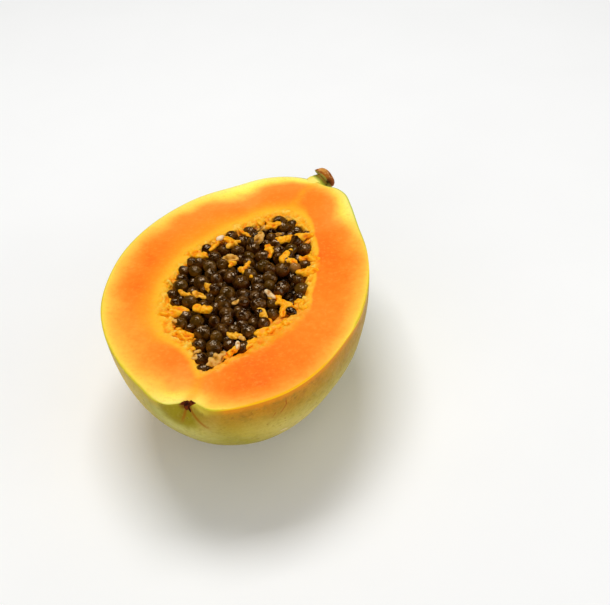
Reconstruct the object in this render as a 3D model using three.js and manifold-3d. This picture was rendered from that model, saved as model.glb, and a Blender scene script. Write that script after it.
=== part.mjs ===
// A ripe papaya cut in half lengthwise, lying on its skin with the cut face up.
// Millimetres, +Z up. The fruit's long axis runs along Y: blossom scar at -Y, stem at +Y.
//
// The fruit, the hollow inside it and the heap of seeds are each swept from one pair of
// curves, the left and the right edge in the plane of the cut. At every station along the
// fruit a half ellipse hangs below the line from the left edge to the right edge, the way
// the meridians of a whole fruit run from the blossom scar to the stem.

import * as THREE from "three";
import { mergeVertices } from "three/addons/utils/BufferGeometryUtils.js";
import Module from "manifold-3d";

const { clamp, degToRad, lerp, seededRandom, smoothstep } = THREE.MathUtils;

// ---- driving dimensions ------------------------------------------------------------

// Edge of the cut face from the blossom scar to the stem, [x, y] on the cut plane.
const LEFT_RIM = [
  [8.5, -73.6], [5, -75.9], [1, -77.1], [-4, -75.7], [-12, -70.5], [-25, -60.4],
  [-40, -43.5], [-50, -23.8], [-55, 6], [-51, 30.6], [-40, 52], [-26.5, 64.6],
  [-16, 73.2], [-8, 76.3], [0, 77], [8, 75.5],
];
const RIGHT_RIM = [
  [8.5, -73.6], [12, -74.3], [18, -75.8], [24.8, -73.6], [34, -67.7], [42.6, -59.3],
  [49.6, -45.8], [54, -26], [55, -12], [52, 9.5], [45.2, 29.7], [36.4, 46.3],
  [28.6, 61], [24, 68.2], [19, 71.8], [13.5, 72.8], [8, 75.5],
];

// Edge of the seed hollow, from its pointed blossom end to its blunt stem end.
const LEFT_HOLLOW = [
  [7.6, -59.5], [-2, -48.5], [-16, -38.5], [-25, -23.5], [-28.5, -4], [-26.5, 13],
  [-15, 35], [-3, 48.5], [4, 51.5],
];
const RIGHT_HOLLOW = [
  [7.6, -59.5], [19, -46.5], [30.5, -30], [33.5, -15], [30.5, 4], [23.5, 27],
  [13, 47], [4, 51.5],
];

const BODY_DEPTH_RATIO = 1.0; // depth of a section below the cut over half its width
const HOLLOW_DEPTH_RATIO = 0.95;
const REST_TRIM = 0.6; // shaved off underneath, which leaves a small flat spot to rest on
const PIECE_GAP = 0.3; // clearance between two pieces that touch

// Shallow furrows that run out from the blossom scar.
const FURROW_ANGLES = [64, 108]; // degrees down from the right rim
const FURROW_WIDTH = 9; // degrees
const FURROW_DEPTH = 0.035; // share of the section's size
const FURROW_START = 0.02; // share of the way from the blossom scar to the stem
const FURROW_END = 0.2;

const STATIONS = 48; // sections from end to end
const END_CROWDING = 0.5; // how far the sections crowd towards the two ends
const SKIN_SIDES = 22; // facets of a section below the cut
const HOLLOW_SIDES = 12;
const HEAP_SIDES = 24; // facets across the top of the seed heap

// Heap of seeds and pulp.
const HEAP_EDGE_ANGLE = 7; // degrees down the hollow's wall to where the heap's top starts
const BED_EDGE_HEIGHT = -4.6; // floor between the top seeds near the wall, from the cut plane
const BED_MIDDLE_HEIGHT = -2.2; // the same in the middle
const BUMP_HEIGHT = 2.6; // how far a seed stands out of the bed
const BUMP_RADIUS = 6;
const BUMP_PITCH = 8.2;
const BUMP_JITTER = 1.5; // sideways scatter of the seeds
const BUMP_LIFT = 0.9; // up and down scatter of the seeds
const BUMP_RANDOM = 11;

// Stem stub: [x, y, z] along its middle from inside the shoulder to the dried end.
const STEM_PATH = [
  [5.6, 69, -6.4], [6.2, 75.2, -4.8], [7.6, 80, -3.4], [10, 84.4, -2.2],
];
// Its sections: [share of its length, half width, half height].
const STEM_PROFILE = [
  [0, 7.4, 5.4], [0.36, 6.8, 5.2], [0.55, 5.2, 4.6], [0.68, 4.3, 4.2], [0.78, 4.5, 4.5],
  [0.86, 5.1, 5.1], [0.95, 5.0, 5.0], [1, 4.2, 4.2],
];
const STEM_SIDES = 20;
const STEM_STEPS = 22;
const STEM_END_HOLLOW = 1.1; // how far the dried end sinks in the middle
const STEM_END_LIP = 0.5; // where the lip ends, as a share of the way to the middle

const WELD = 1e-3; // points closer than this are one
const BLOCK_SIZE = 400; // larger than the fruit, for cutting

// ---- curves ------------------------------------------------------------------------

/** A smooth curve through a list of [x, y] or [x, y, z] points. */
function smoothCurve(points) {
  const vectors = points.map(([x, y, z = 0]) => new THREE.Vector3(x, y, z));
  return new THREE.CatmullRomCurve3(vectors, false, "centripetal");
}

/** Share of the way along the fruit of a station, crowded towards both ends. */
function stationShare(station) {
  const even = station / STATIONS;
  const crowded = 0.5 - 0.5 * Math.cos(Math.PI * even);
  return lerp(even, crowded, END_CROWDING);
}

/** Point of a flat curve, moved to its right, seen from above, by the inset. */
function insetPoint(curve, share, inset) {
  const tangent = curve.getTangentAt(share);
  const sideways = new THREE.Vector3(tangent.y, -tangent.x, 0);
  return curve.getPointAt(share).addScaledVector(sideways, inset);
}

/** The two edge points of every station, with both edges and both ends drawn in. */
function edgePairs(leftPoints, rightPoints, inset) {
  const left = smoothCurve(leftPoints);
  const right = smoothCurve(rightPoints);
  const pairs = [];
  for (let station = 1; station < STATIONS; station += 1) {
    const share = stationShare(station);
    pairs.push([insetPoint(left, share, inset), insetPoint(right, share, -inset)]);
  }
  const start = left.getPointAt(0).add(new THREE.Vector3(0, inset, 0));
  const end = left.getPointAt(1).add(new THREE.Vector3(0, -inset, 0));
  return [[start, start], ...pairs, [end, end]];
}

// ---- sections ----------------------------------------------------------------------

/** What the furrows leave of a section's size at an angle down from the right rim. */
function furrowed(share, angle) {
  const fadeIn = smoothstep(share, 0, FURROW_START);
  const fadeOut = 1 - smoothstep(share, FURROW_START, FURROW_END);
  let depth = 0;
  for (const furrowAngle of FURROW_ANGLES) {
    const away = (angle - degToRad(furrowAngle)) / degToRad(FURROW_WIDTH);
    depth += FURROW_DEPTH * Math.exp(-away * away);
  }
  return 1 - depth * fadeIn * fadeOut;
}

/** The plain half ellipse. */
function smooth() {
  return 1;
}

/**
 * Points below the cut, one row for each station, from the right edge round underneath to
 * the left edge. Each row starts and ends the margin's angle below the cut plane.
 */
function bowlRows(pairs, depthRatio, sides, margin, relief) {
  return pairs.map(([left, right], station) => {
    const middle = left.clone().lerp(right, 0.5);
    const reach = right.clone().sub(middle);
    const depth = depthRatio * reach.length();
    const row = [];
    for (let side = 0; side <= sides; side += 1) {
      const angle = lerp(margin, Math.PI - margin, side / sides);
      const size = relief(stationShare(station), angle);
      const point = middle.clone().addScaledVector(reach, size * Math.cos(angle));
      point.z -= size * depth * Math.sin(angle);
      row.push(point);
    }
    return row;
  });
}

// ---- meshes ------------------------------------------------------------------------

/** Collects grids of points and turns them into one welded geometry. */
class Skin {
  constructor() {
    this.positions = [];
  }

  /** One triangle, left out where two of its corners are the same point. */
  triangle(a, b, c) {
    const shortest = Math.min(a.distanceTo(b), b.distanceTo(c), c.distanceTo(a));
    if (shortest > WELD) {
      this.positions.push(...a.toArray(), ...b.toArray(), ...c.toArray());
    }
  }

  /** Skins rows of points; flipped turns the faces to the other side. */
  grid(rows, flipped = false) {
    for (let row = 0; row + 1 < rows.length; row += 1) {
      for (let column = 0; column + 1 < rows[row].length; column += 1) {
        const a = rows[row][column];
        const b = rows[row][column + 1];
        const c = rows[row + 1][column + 1];
        const d = rows[row + 1][column];
        if (flipped) {
          this.triangle(a, c, b);
          this.triangle(a, d, c);
        } else {
          this.triangle(a, b, c);
          this.triangle(a, c, d);
        }
      }
    }
  }

  /** The welded geometry. */
  geometry() {
    const soup = new THREE.BufferGeometry();
    soup.setAttribute("position", new THREE.Float32BufferAttribute(this.positions, 3));
    return mergeVertices(soup, WELD);
  }
}

const wasm = await Module();
wasm.setup();

/** A closed geometry as a solid that can be cut. */
function solidOf(geometry) {
  const bare = geometry.clone();
  bare.deleteAttribute("normal");
  bare.deleteAttribute("uv");
  const welded = mergeVertices(bare, WELD);
  return new wasm.Manifold(new wasm.Mesh({
    numProp: 3,
    vertProperties: new Float32Array(welded.attributes.position.array),
    triVerts: new Uint32Array(welded.index.array),
  }));
}

/** A cut solid as a geometry. */
function geometryOf(solid) {
  const mesh = solid.getMesh();
  const geometry = new THREE.BufferGeometry();
  geometry.setAttribute("position", new THREE.Float32BufferAttribute(mesh.vertProperties, 3));
  geometry.setIndex([...mesh.triVerts]);
  return geometry;
}

/** Everything below a height. */
function blockBelow(height) {
  const block = new THREE.BoxGeometry(BLOCK_SIZE, BLOCK_SIZE, BLOCK_SIZE);
  block.translate(0, 0, height - BLOCK_SIZE / 2);
  return solidOf(block);
}

// ---- flesh -------------------------------------------------------------------------

/** The skin side of the fruit, grown outwards by the clearance. */
function skinRows(clearance) {
  const pairs = edgePairs(LEFT_RIM, RIGHT_RIM, -clearance);
  return bowlRows(pairs, BODY_DEPTH_RATIO, SKIN_SIDES, 0, furrowed);
}

/** Flesh with its skin: bowl outside, flat cut face, and the open hollow. */
function fleshGeometry() {
  const outside = skinRows(0);
  const hollowPairs = edgePairs(LEFT_HOLLOW, RIGHT_HOLLOW, 0);
  const hollow = bowlRows(hollowPairs, HOLLOW_DEPTH_RATIO, HOLLOW_SIDES, 0, smooth);
  const skin = new Skin();
  skin.grid(outside);
  skin.grid(hollow, true);
  skin.grid(outside.map((row, station) => [hollow[station].at(0), row.at(0)]));
  skin.grid(outside.map((row, station) => [row.at(-1), hollow[station].at(-1)]));
  const lowest = Math.min(...outside.flat().map((point) => point.z));
  return geometryOf(solidOf(skin.geometry()).subtract(blockBelow(lowest + REST_TRIM)));
}

// ---- seed heap ---------------------------------------------------------------------

/** Top seeds of the heap on a jittered triangular lattice; z is a seed's lift. */
function scatterSeeds() {
  seededRandom(BUMP_RANDOM);
  const scatter = (reach) => (2 * seededRandom() - 1) * reach;
  const box = new THREE.Box3().setFromPoints(
    [...LEFT_HOLLOW, ...RIGHT_HOLLOW].map(([x, y]) => new THREE.Vector3(x, y, 0)),
  );
  const rowPitch = BUMP_PITCH * Math.sin(Math.PI / 3);
  const seeds = [];
  for (let row = 0; box.min.y + row * rowPitch <= box.max.y; row += 1) {
    const shift = row % 2 === 0 ? 0 : BUMP_PITCH / 2;
    for (let x = box.min.x + shift; x <= box.max.x; x += BUMP_PITCH) {
      const y = box.min.y + row * rowPitch;
      seeds.push(new THREE.Vector3(
        x + scatter(BUMP_JITTER),
        y + scatter(BUMP_JITTER),
        scatter(BUMP_LIFT),
      ));
    }
  }
  return seeds;
}

/** Height of the nearest seed's upper side over the bed. */
function bumpHeight(point, seeds) {
  let height = 0;
  for (const seed of seeds) {
    const away = Math.hypot(point.x - seed.x, point.y - seed.y);
    const swell = Math.cos(0.5 * Math.PI * clamp(away / BUMP_RADIUS, 0, 1)) ** 2;
    height = Math.max(height, swell * (BUMP_HEIGHT + seed.z));
  }
  return height;
}

/** Uneven top of the heap between the two edges of every row underneath. */
function heapTopRows(under) {
  const seeds = scatterSeeds();
  return under.map((row) => {
    const right = row.at(0);
    const left = row.at(-1);
    const top = [];
    for (let side = 0; side <= HEAP_SIDES; side += 1) {
      const share = side / HEAP_SIDES;
      const point = right.clone().lerp(left, share);
      const fromEdge = Math.min(share, 1 - share);
      const bed = lerp(BED_EDGE_HEIGHT, BED_MIDDLE_HEIGHT, smoothstep(fromEdge, 0, 0.5));
      const rise = smoothstep(fromEdge * right.distanceTo(left), 0, BUMP_RADIUS);
      point.z = lerp(point.z, bed + bumpHeight(point, seeds), rise);
      top.push(point);
    }
    return top;
  });
}

/** The seeds and pulp as one heap with a bumpy top, just clear of the hollow's wall. */
function heapGeometry() {
  const pairs = edgePairs(LEFT_HOLLOW, RIGHT_HOLLOW, PIECE_GAP);
  const margin = degToRad(HEAP_EDGE_ANGLE);
  const under = bowlRows(pairs, HOLLOW_DEPTH_RATIO, HOLLOW_SIDES, margin, smooth);
  const skin = new Skin();
  skin.grid(under);
  skin.grid(heapTopRows(under), true);
  return skin.geometry();
}

// ---- stem --------------------------------------------------------------------------

/** Half width and half height of the stem at a share of its length. */
function stemSection(share) {
  const next = Math.max(1, STEM_PROFILE.findIndex(([at]) => at >= share));
  const [fromShare, fromWidth, fromHeight] = STEM_PROFILE[next - 1];
  const [toShare, toWidth, toHeight] = STEM_PROFILE[next];
  const blend = smoothstep(share, fromShare, toShare);
  return [lerp(fromWidth, toWidth, blend), lerp(fromHeight, toHeight, blend)];
}

/** One closed ring of points round a place on the stem's path. */
function stemRing(path, share) {
  const tangent = path.getTangentAt(share);
  const across = new THREE.Vector3().crossVectors(tangent, new THREE.Vector3(0, 0, 1)).normalize();
  const raised = new THREE.Vector3().crossVectors(across, tangent);
  const [halfWidth, halfHeight] = stemSection(share);
  const points = [];
  for (let side = 0; side <= STEM_SIDES; side += 1) {
    const turn = (2 * Math.PI * (side % STEM_SIDES)) / STEM_SIDES;
    const point = path.getPointAt(share);
    point.addScaledVector(across, halfWidth * Math.cos(turn));
    point.addScaledVector(raised, halfHeight * Math.sin(turn));
    points.push(point);
  }
  return points;
}

/** The stem's bent neck with a flared, dried end that sinks in the middle. */
function stemSolid() {
  const path = smoothCurve(STEM_PATH);
  const rings = [];
  for (let step = 0; step <= STEM_STEPS; step += 1) {
    rings.push(stemRing(path, step / STEM_STEPS));
  }
  const start = path.getPointAt(0);
  const sunk = path.getPointAt(1).addScaledVector(path.getTangentAt(1), -STEM_END_HOLLOW);
  const lip = rings.at(-1).map((point) => point.clone().lerp(sunk, STEM_END_LIP));
  const skin = new Skin();
  skin.grid([rings[0].map(() => start), ...rings, lip, lip.map(() => sunk)], true);
  return solidOf(skin.geometry());
}

/** The fruit grown by the clearance, and everything over its cut face. */
function fruitAndColumnSolid() {
  const outside = skinRows(PIECE_GAP);
  const raise = (point) => point.clone().setZ(BLOCK_SIZE / 2);
  const skin = new Skin();
  skin.grid(outside);
  skin.grid(outside.map((row) => [raise(row.at(0)), row.at(0)]));
  skin.grid(outside.map((row) => [row.at(-1), raise(row.at(-1))]));
  skin.grid(outside.map((row) => [raise(row.at(-1)), raise(row.at(0))]));
  return solidOf(skin.geometry());
}

/** Stem stub, cut to the fruit's shoulder. */
function stemGeometry() {
  return geometryOf(stemSolid().subtract(fruitAndColumnSolid()));
}

// ---- the object --------------------------------------------------------------------

const flesh = new THREE.Mesh(
  fleshGeometry(),
  new THREE.MeshStandardMaterial({ color: "#ff8a24", roughness: 0.4, metalness: 0 }),
);
flesh.name = "papaya_half";

const seedHeap = new THREE.Mesh(
  heapGeometry(),
  new THREE.MeshStandardMaterial({ color: "#2b2016", roughness: 0.3, metalness: 0 }),
);
seedHeap.name = "seed_heap";

const stem = new THREE.Mesh(
  stemGeometry(),
  new THREE.MeshStandardMaterial({ color: "#8b6a1e", roughness: 0.75, metalness: 0 }),
);
stem.name = "stem_stub";

const half = new THREE.Group();
half.add(flesh, seedHeap, stem);

const box = new THREE.Box3().setFromObject(half, true);
const boxMiddle = box.getCenter(new THREE.Vector3());
half.position.set(-boxMiddle.x, -boxMiddle.y, -box.min.z);

const papaya = new THREE.Group();
papaya.add(half);

export default papaya;
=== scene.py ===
"""A ripe papaya half on its skin, cut face up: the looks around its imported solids.

The classes hold lengths in millimetres in the fruit's own frame: X runs to the right, Y towards
the stem and Z up, with Z = 0 on the cut plane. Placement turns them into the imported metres.
"""

import logging
import math
from dataclasses import dataclass
from enum import Enum
from functools import partial
from typing import Sequence

import bmesh
import bpy
import numpy as np
from mathutils import Euler, Matrix, Vector, noise


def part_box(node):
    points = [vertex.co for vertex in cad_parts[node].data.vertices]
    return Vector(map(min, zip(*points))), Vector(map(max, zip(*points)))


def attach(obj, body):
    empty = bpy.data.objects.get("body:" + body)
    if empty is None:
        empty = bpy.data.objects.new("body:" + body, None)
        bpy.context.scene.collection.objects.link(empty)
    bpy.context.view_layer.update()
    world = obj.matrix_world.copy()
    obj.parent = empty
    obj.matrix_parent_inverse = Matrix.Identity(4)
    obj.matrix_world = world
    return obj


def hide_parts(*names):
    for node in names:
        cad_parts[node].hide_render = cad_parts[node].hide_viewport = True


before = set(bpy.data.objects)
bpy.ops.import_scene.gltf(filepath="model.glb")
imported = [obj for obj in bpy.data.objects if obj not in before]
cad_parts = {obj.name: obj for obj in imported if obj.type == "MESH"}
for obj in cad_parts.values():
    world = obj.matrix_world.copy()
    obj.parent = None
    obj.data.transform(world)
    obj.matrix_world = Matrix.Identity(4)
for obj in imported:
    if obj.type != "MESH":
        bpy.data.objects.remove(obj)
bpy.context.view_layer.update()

LOG = logging.getLogger("papaya")
MM = 0.001
BODY = "root"

Array = np.ndarray
Pair = tuple[float, float]
Triple = tuple[float, float, float]


# ---- numbers and colours ----


def srgb(code: str) -> tuple[float, float, float, float]:
    """Linear colour of an sRGB hex value such as "#ff8a24"."""
    channels = [int(code[place : place + 2], 16) / 255 for place in (1, 3, 5)]
    linear = [c / 12.92 if c <= 0.04045 else ((c + 0.055) / 1.055) ** 2.4 for c in channels]
    return (*linear, 1.0)


def per_metre(size: float) -> float:
    """Texture scale, in repeats a metre, of a pattern of that size in millimetres."""
    return 1 / (size * MM)


def ease(values: Array, low: float, high: float) -> Array:
    """Smooth step from 0 at low to 1 at high."""
    t = np.clip((np.asarray(values, float) - low) / (high - low), 0, 1)
    return t * t * (3 - 2 * t)


def waves(points: Array, size: float, octaves: int = 1, shift: float = 0.0) -> Array:
    """Smooth noise, from about -1 to 1, over points of the fruit's frame.

    Args:
        points: Array whose last axis is x, y, z in millimetres.
        size: Millimetres from one bump to the next.
        octaves: Layers of ever finer bumps.
        shift: Moves the pattern, so that two calls don't draw the same bumps.

    Returns:
        One value for each point.
    """
    flat = points.reshape(-1, 3) / size + shift
    values = [noise.fractal(Vector(point), 1.0, 2.0, octaves) for point in flat]
    return np.array(values).reshape(points.shape[:-1])


def segment_distance(points: Array, path: Array) -> tuple[Array, Array]:
    """Distance in the cut plane from points to a path of straight segments.

    Args:
        points: Array (count, 2).
        path: Array (corners, 2).

    Returns:
        The distances and the nearest places on the path.
    """
    start, along = path[:-1], np.diff(path, axis=0)
    length = np.maximum((along**2).sum(1), 1e-12)
    offset = points[:, None] - start
    share = np.clip((offset * along).sum(2) / length, 0, 1)
    places = start + share[..., None] * along
    distance = np.linalg.norm(points[:, None] - places, axis=2)
    nearest = distance.argmin(1)
    rows = np.arange(len(points))
    return distance[rows, nearest], places[rows, nearest]


def ring_distance(points: Array, ring: Array) -> tuple[Array, Array]:
    """Distance from points (count, 2) to a closed outline, and the nearest places on it."""
    return segment_distance(points, np.vstack([ring, ring[:1]]))


def ring_gap(points: Array, ring: Array) -> Array:
    """Distance from each place (..., 2 or 3) of the cut plane to a closed outline."""
    return ring_distance(points[..., :2].reshape(-1, 2), ring)[0].reshape(points.shape[:-1])


def inside(points: Array, outline: Array) -> Array:
    """True for each point (count, 2) that a closed outline (corners, 2) holds."""
    ends = np.roll(outline, -1, axis=0)
    x, y = points[:, :1], points[:, 1:]
    crosses = (outline[:, 1] > y) != (ends[:, 1] > y)
    rise = np.where(ends[:, 1] == outline[:, 1], 1e-12, ends[:, 1] - outline[:, 1])
    at = outline[:, 0] + (y - outline[:, 1]) / rise * (ends[:, 0] - outline[:, 0])
    return (crosses & (x < at)).sum(1) % 2 == 1


# ---- the fruit's form ----


@dataclass(frozen=True)
class Outline:
    """A smooth flat curve through a few points [x, y] in the cut plane."""

    points: tuple[Pair, ...]
    steps: int = 24

    def dense(self) -> Array:
        """The centripetal Catmull-Rom curve through the points, as many short segments."""
        p = np.array(self.points, float)
        p = np.vstack([2 * p[0] - p[1], p, 2 * p[-1] - p[-2]])
        gaps = np.sqrt(np.linalg.norm(np.diff(p, axis=0), axis=1))
        knots = np.concatenate([[0], np.cumsum(gaps)])

        def blend(a: Array, b: Array, start: float, end: float, t: Array) -> Array:
            """Straight blend from a at knot start to b at knot end."""
            return (a * (end - t) + b * (t - start)) / (end - start)

        pieces = []
        for i in range(1, len(p) - 2):
            k = knots[i - 1 : i + 3]
            t = np.linspace(k[1], k[2], self.steps, endpoint=False)[:, None]
            a = [blend(p[i - 1 + n], p[i + n], k[n], k[n + 1], t) for n in range(3)]
            b = [blend(a[n], a[n + 1], k[n], k[n + 2], t) for n in range(2)]
            pieces.append(blend(b[0], b[1], k[1], k[2], t))
        return np.vstack([*pieces, p[-2:-1]])

    def at(self, shares: Array) -> Array:
        """Points (count, 2) at shares of the curve's length."""
        path = self.dense()
        length = np.concatenate([[0], np.cumsum(np.linalg.norm(np.diff(path, axis=0), axis=1))])
        length /= length[-1]
        return np.stack([np.interp(shares, length, path[:, axis]) for axis in (0, 1)], axis=-1)


@dataclass(frozen=True)
class RingProfile:
    """A value that changes smoothly round the rim.

    Attributes:
        stops: Pairs of clock position in degrees, 0 at the stem and 90 at the right, and value.
    """

    stops: tuple[Pair, ...]

    def at(self, points: Array) -> Array:
        """The value at each place (..., 2 or 3) of the cut plane."""
        clock = np.degrees(np.arctan2(points[..., 0], points[..., 1])) % 360
        places, values = np.array(self.stops, float).T
        places = np.concatenate([places[-1:] - 360, places, places[:1] + 360])
        values = np.concatenate([values[-1:], values, values[:1]])
        after = np.clip(np.searchsorted(places, clock, "right"), 1, len(places) - 1)
        share = (clock - places[after - 1]) / (places[after] - places[after - 1])
        share = share * share * (3 - 2 * share)
        return values[after - 1] * (1 - share) + values[after] * share


@dataclass(frozen=True)
class FruitForm:
    """The half fruit as swept curves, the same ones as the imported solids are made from."""

    left_rim: Outline = Outline(
        (
            (8.5, -73.6), (5, -75.9), (1, -77.1), (-4, -75.7), (-12, -70.5), (-25, -60.4),
            (-40, -43.5), (-50, -23.8), (-55, 6), (-51, 30.6), (-40, 52), (-26.5, 64.6),
            (-16, 73.2), (-8, 76.3), (0, 77), (8, 75.5),
        )
    )  # fmt: skip
    right_rim: Outline = Outline(
        (
            (8.5, -73.6), (12, -74.3), (18, -75.8), (24.8, -73.6), (34, -67.7), (42.6, -59.3),
            (49.6, -45.8), (54, -26), (55, -12), (52, 9.5), (45.2, 29.7), (36.4, 46.3),
            (28.6, 61), (24, 68.2), (19, 71.8), (13.5, 72.8), (8, 75.5),
        )
    )  # fmt: skip
    left_hollow: Outline = Outline(
        (
            (7.6, -59.5), (-2, -48.5), (-16, -38.5), (-25, -23.5), (-28.5, -4), (-26.5, 13),
            (-15, 35), (-3, 48.5), (4, 51.5),
        )
    )  # fmt: skip
    right_hollow: Outline = Outline(
        (
            (7.6, -59.5), (19, -46.5), (30.5, -30), (33.5, -15), (30.5, 4), (23.5, 27),
            (13, 47), (4, 51.5),
        )
    )  # fmt: skip
    left_seeds: Outline = Outline(
        (
            (7.2, -58.4), (0.8, -50), (-4.6, -40.4), (-13.6, -33), (-21, -20.5), (-26.4, -13),
            (-27.2, 2), (-23.6, 17), (-17, 29.5), (-10, 35.4), (-1.5, 45), (4, 48),
        )
    )  # fmt: skip
    right_seeds: Outline = Outline(
        (
            (7.2, -58.4), (10.8, -52.8), (14.6, -46), (19.6, -40), (20.2, -31), (23.4, -20),
            (29, -8), (29, 1), (26.2, 10), (23.4, 24), (17.6, 36.4), (9.8, 43.8), (4, 48),
        )
    )  # fmt: skip
    depth_ratio: float = 1.0
    hollow_ratio: float = 0.95
    floor_lift: float = 3.0
    scar_at: Pair = (8.5, -73.6)
    stem_at: Pair = (8.0, 75.5)
    end_crowding: float = 0.5
    furrows: tuple[Pair, ...] = ((64.0, 0.035), (108.0, 0.03))
    furrow_width: float = 8.0
    furrow_start: float = 0.02
    furrow_end: float = 0.2

    def shares(self, count: int) -> Array:
        """Shares of the way from the blossom scar to the stem, crowded towards both ends."""
        even = np.arange(count + 1) / count
        crowded = 0.5 - 0.5 * np.cos(np.pi * even)
        return even + (crowded - even) * self.end_crowding

    def furrowed(self, shares: Array, angles: Array) -> Array:
        """What the furrows by the blossom scar leave of a section's size.

        Args:
            shares: Shares of the way along the fruit, (count,).
            angles: Radians down from the right rim, (sides,).

        Returns:
            Factors (count, sides).
        """
        fade = ease(shares, 0, self.furrow_start) * (
            1 - ease(shares, self.furrow_start, self.furrow_end)
        )
        depth = np.zeros((len(shares), len(angles)))
        for degrees, share in self.furrows:
            away = (np.degrees(angles) - degrees) / self.furrow_width
            depth += share * np.exp(-(away**2))
        return 1 - depth * fade[:, None]

    def skin(self, shares: Array, angles: Array) -> tuple[Array, Array]:
        """The skin's points and its outward directions, (count, sides, 3) each.

        Args:
            shares: Shares of the way along the fruit, (count,).
            angles: Radians down from the right rim to the left one, (sides,).

        Returns:
            Points in millimetres, and directions of length 1.
        """
        left, right = self.left_rim.at(shares), self.right_rim.at(shares)
        middle, reach = (left + right) / 2, (right - left) / 2
        half = np.linalg.norm(reach, axis=1)
        size = self.furrowed(shares, angles)
        flat = middle[:, None] + reach[:, None] * (size * np.cos(angles))[..., None]
        height = -self.depth_ratio * half[:, None] * size * np.sin(angles)
        side = reach / np.maximum(half, 1e-9)[:, None]
        outward = np.concatenate(
            [
                side[:, None] * np.cos(angles)[None, :, None],
                np.broadcast_to(-np.sin(angles)[None, :, None], (*size.shape, 1)),
            ],
            axis=2,
        )
        return np.concatenate([flat, height[..., None]], axis=2), outward

    def ring(self, left: Outline, right: Outline, count: int = 120) -> Array:
        """Closed outline (corners, 2) up the left curve and back down the right one."""
        shares = self.shares(count)
        return np.vstack([left.at(shares), right.at(shares)[-2:0:-1]])

    def seed_ring(self) -> Array:
        """The closed outline that the seeds fill."""
        return self.ring(self.left_seeds, self.right_seeds)

    def hollow_depth(self, shares: Array) -> Array:
        """Depth of the seed hollow's bowl under the cut plane at each share."""
        span = self.right_hollow.at(shares) - self.left_hollow.at(shares)
        return self.hollow_ratio * np.linalg.norm(span, axis=1) / 2


@dataclass(frozen=True)
class Placement:
    """Where the fruit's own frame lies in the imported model."""

    shift: Array

    @classmethod
    def from_frame(cls, form: FruitForm) -> "Placement":
        """Lays the form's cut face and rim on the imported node's."""
        low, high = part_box("papaya_half")
        rim = form.ring(form.left_rim, form.right_rim, 480)
        x = (low.x + high.x) / 2 / MM - (rim[:, 0].min() + rim[:, 0].max()) / 2
        return cls(np.array([x, low.y / MM - rim[:, 1].min(), high.z / MM]))

    def metres(self, points: Array) -> Array:
        """Points (..., 3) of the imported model."""
        return (np.asarray(points, float) + self.shift) * MM

    def vector(self, point: Sequence[float]) -> Vector:
        """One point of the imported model."""
        return Vector(self.metres(np.array(point, float)))


# ---- meshes and pieces ----


def grid_faces(rows: int, columns: int, closed: bool) -> Array:
    """Corner numbers (faces, 4) of a grid whose rows run on, and close if asked."""
    last = columns if closed else columns - 1
    row, column = np.meshgrid(np.arange(rows - 1), np.arange(last), indexing="ij")
    after = (column + 1) % columns
    corners = [row * columns + column, row * columns + after]
    corners += [(row + 1) * columns + after, (row + 1) * columns + column]
    return np.stack(corners, axis=-1).reshape(-1, 4)


def mesh_of(
    name: str,
    points: Array,
    faces: Array,
    values: dict[str, Array] | None = None,
    finishes: Array | None = None,
    weld: float = 0.002,
) -> bpy.types.Mesh:
    """A closed, smooth mesh with its doubled points merged and its faces outwards.

    Args:
        name: Name of the mesh.
        points: Points in metres, (..., 3).
        faces: Corner numbers (faces, corners).
        values: Numbers kept at each point for the materials, by name.
        finishes: Material slot of each face.
        weld: Points closer than this, in millimetres, are one.

    Returns:
        The mesh.
    """
    mesh = bpy.data.meshes.new(name)
    mesh.from_pydata(points.reshape(-1, 3).tolist(), [], faces.tolist())
    for key, numbers in (values or {}).items():
        layer = mesh.attributes.new(key, "FLOAT", "POINT")
        layer.data.foreach_set("value", np.asarray(numbers, np.float32).ravel())
    if finishes is not None:
        mesh.polygons.foreach_set("material_index", finishes.astype(np.int32))
    work = bmesh.new()
    work.from_mesh(mesh)
    bmesh.ops.remove_doubles(work, verts=work.verts, dist=weld * MM)
    bmesh.ops.recalc_face_normals(work, faces=work.faces)
    for face in work.faces:
        face.smooth = True
    work.to_mesh(mesh)
    work.free()
    return mesh


def add_piece(
    name: str,
    mesh: bpy.types.Mesh,
    materials: Sequence[bpy.types.Material] = (),
    replaced: str | None = None,
) -> bpy.types.Object:
    """Puts a finished mesh in the scene as a piece that rides on the fruit.

    Args:
        name: Name of the piece.
        mesh: Its mesh, in place.
        materials: Materials, where the mesh has none yet.
        replaced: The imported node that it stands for.

    Returns:
        The piece.
    """
    for material in materials:
        mesh.materials.append(material)
    piece = bpy.data.objects.new(name, mesh)
    bpy.context.scene.collection.objects.link(piece)
    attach(piece, BODY)
    if replaced:
        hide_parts(replaced)
    mesh.calc_loop_triangles()
    LOG.info("%s: %d triangles", name, len(mesh.loop_triangles))
    return piece


def ball(detail: int) -> tuple[Array, Array]:
    """Points on a sphere of radius 1 and the triangles between them.

    Args:
        detail: How often the sphere's faces are divided, 2 for 80 triangles.

    Returns:
        Points (count, 3) and corner numbers (faces, 3).
    """
    work = bmesh.new()
    bmesh.ops.create_icosphere(work, subdivisions=detail, radius=1.0)
    points = np.array([vert.co for vert in work.verts])
    faces = np.array([[vert.index for vert in face.verts] for face in work.faces])
    work.free()
    return points, faces


# ---- materials ----


def connect(
    tree: bpy.types.NodeTree, node: bpy.types.Node, inputs: dict[int | str, object]
) -> None:
    """Fills a node's inputs.

    Args:
        tree: The node's tree.
        node: The node.
        inputs: By name or number, a value, a socket, or a node that stands for its first output.
    """
    for key, given in inputs.items():
        value = given.outputs[0] if isinstance(given, bpy.types.Node) else given
        if isinstance(value, bpy.types.NodeSocket):
            tree.links.new(value, node.inputs[key])
        else:
            node.inputs[key].default_value = value


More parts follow.
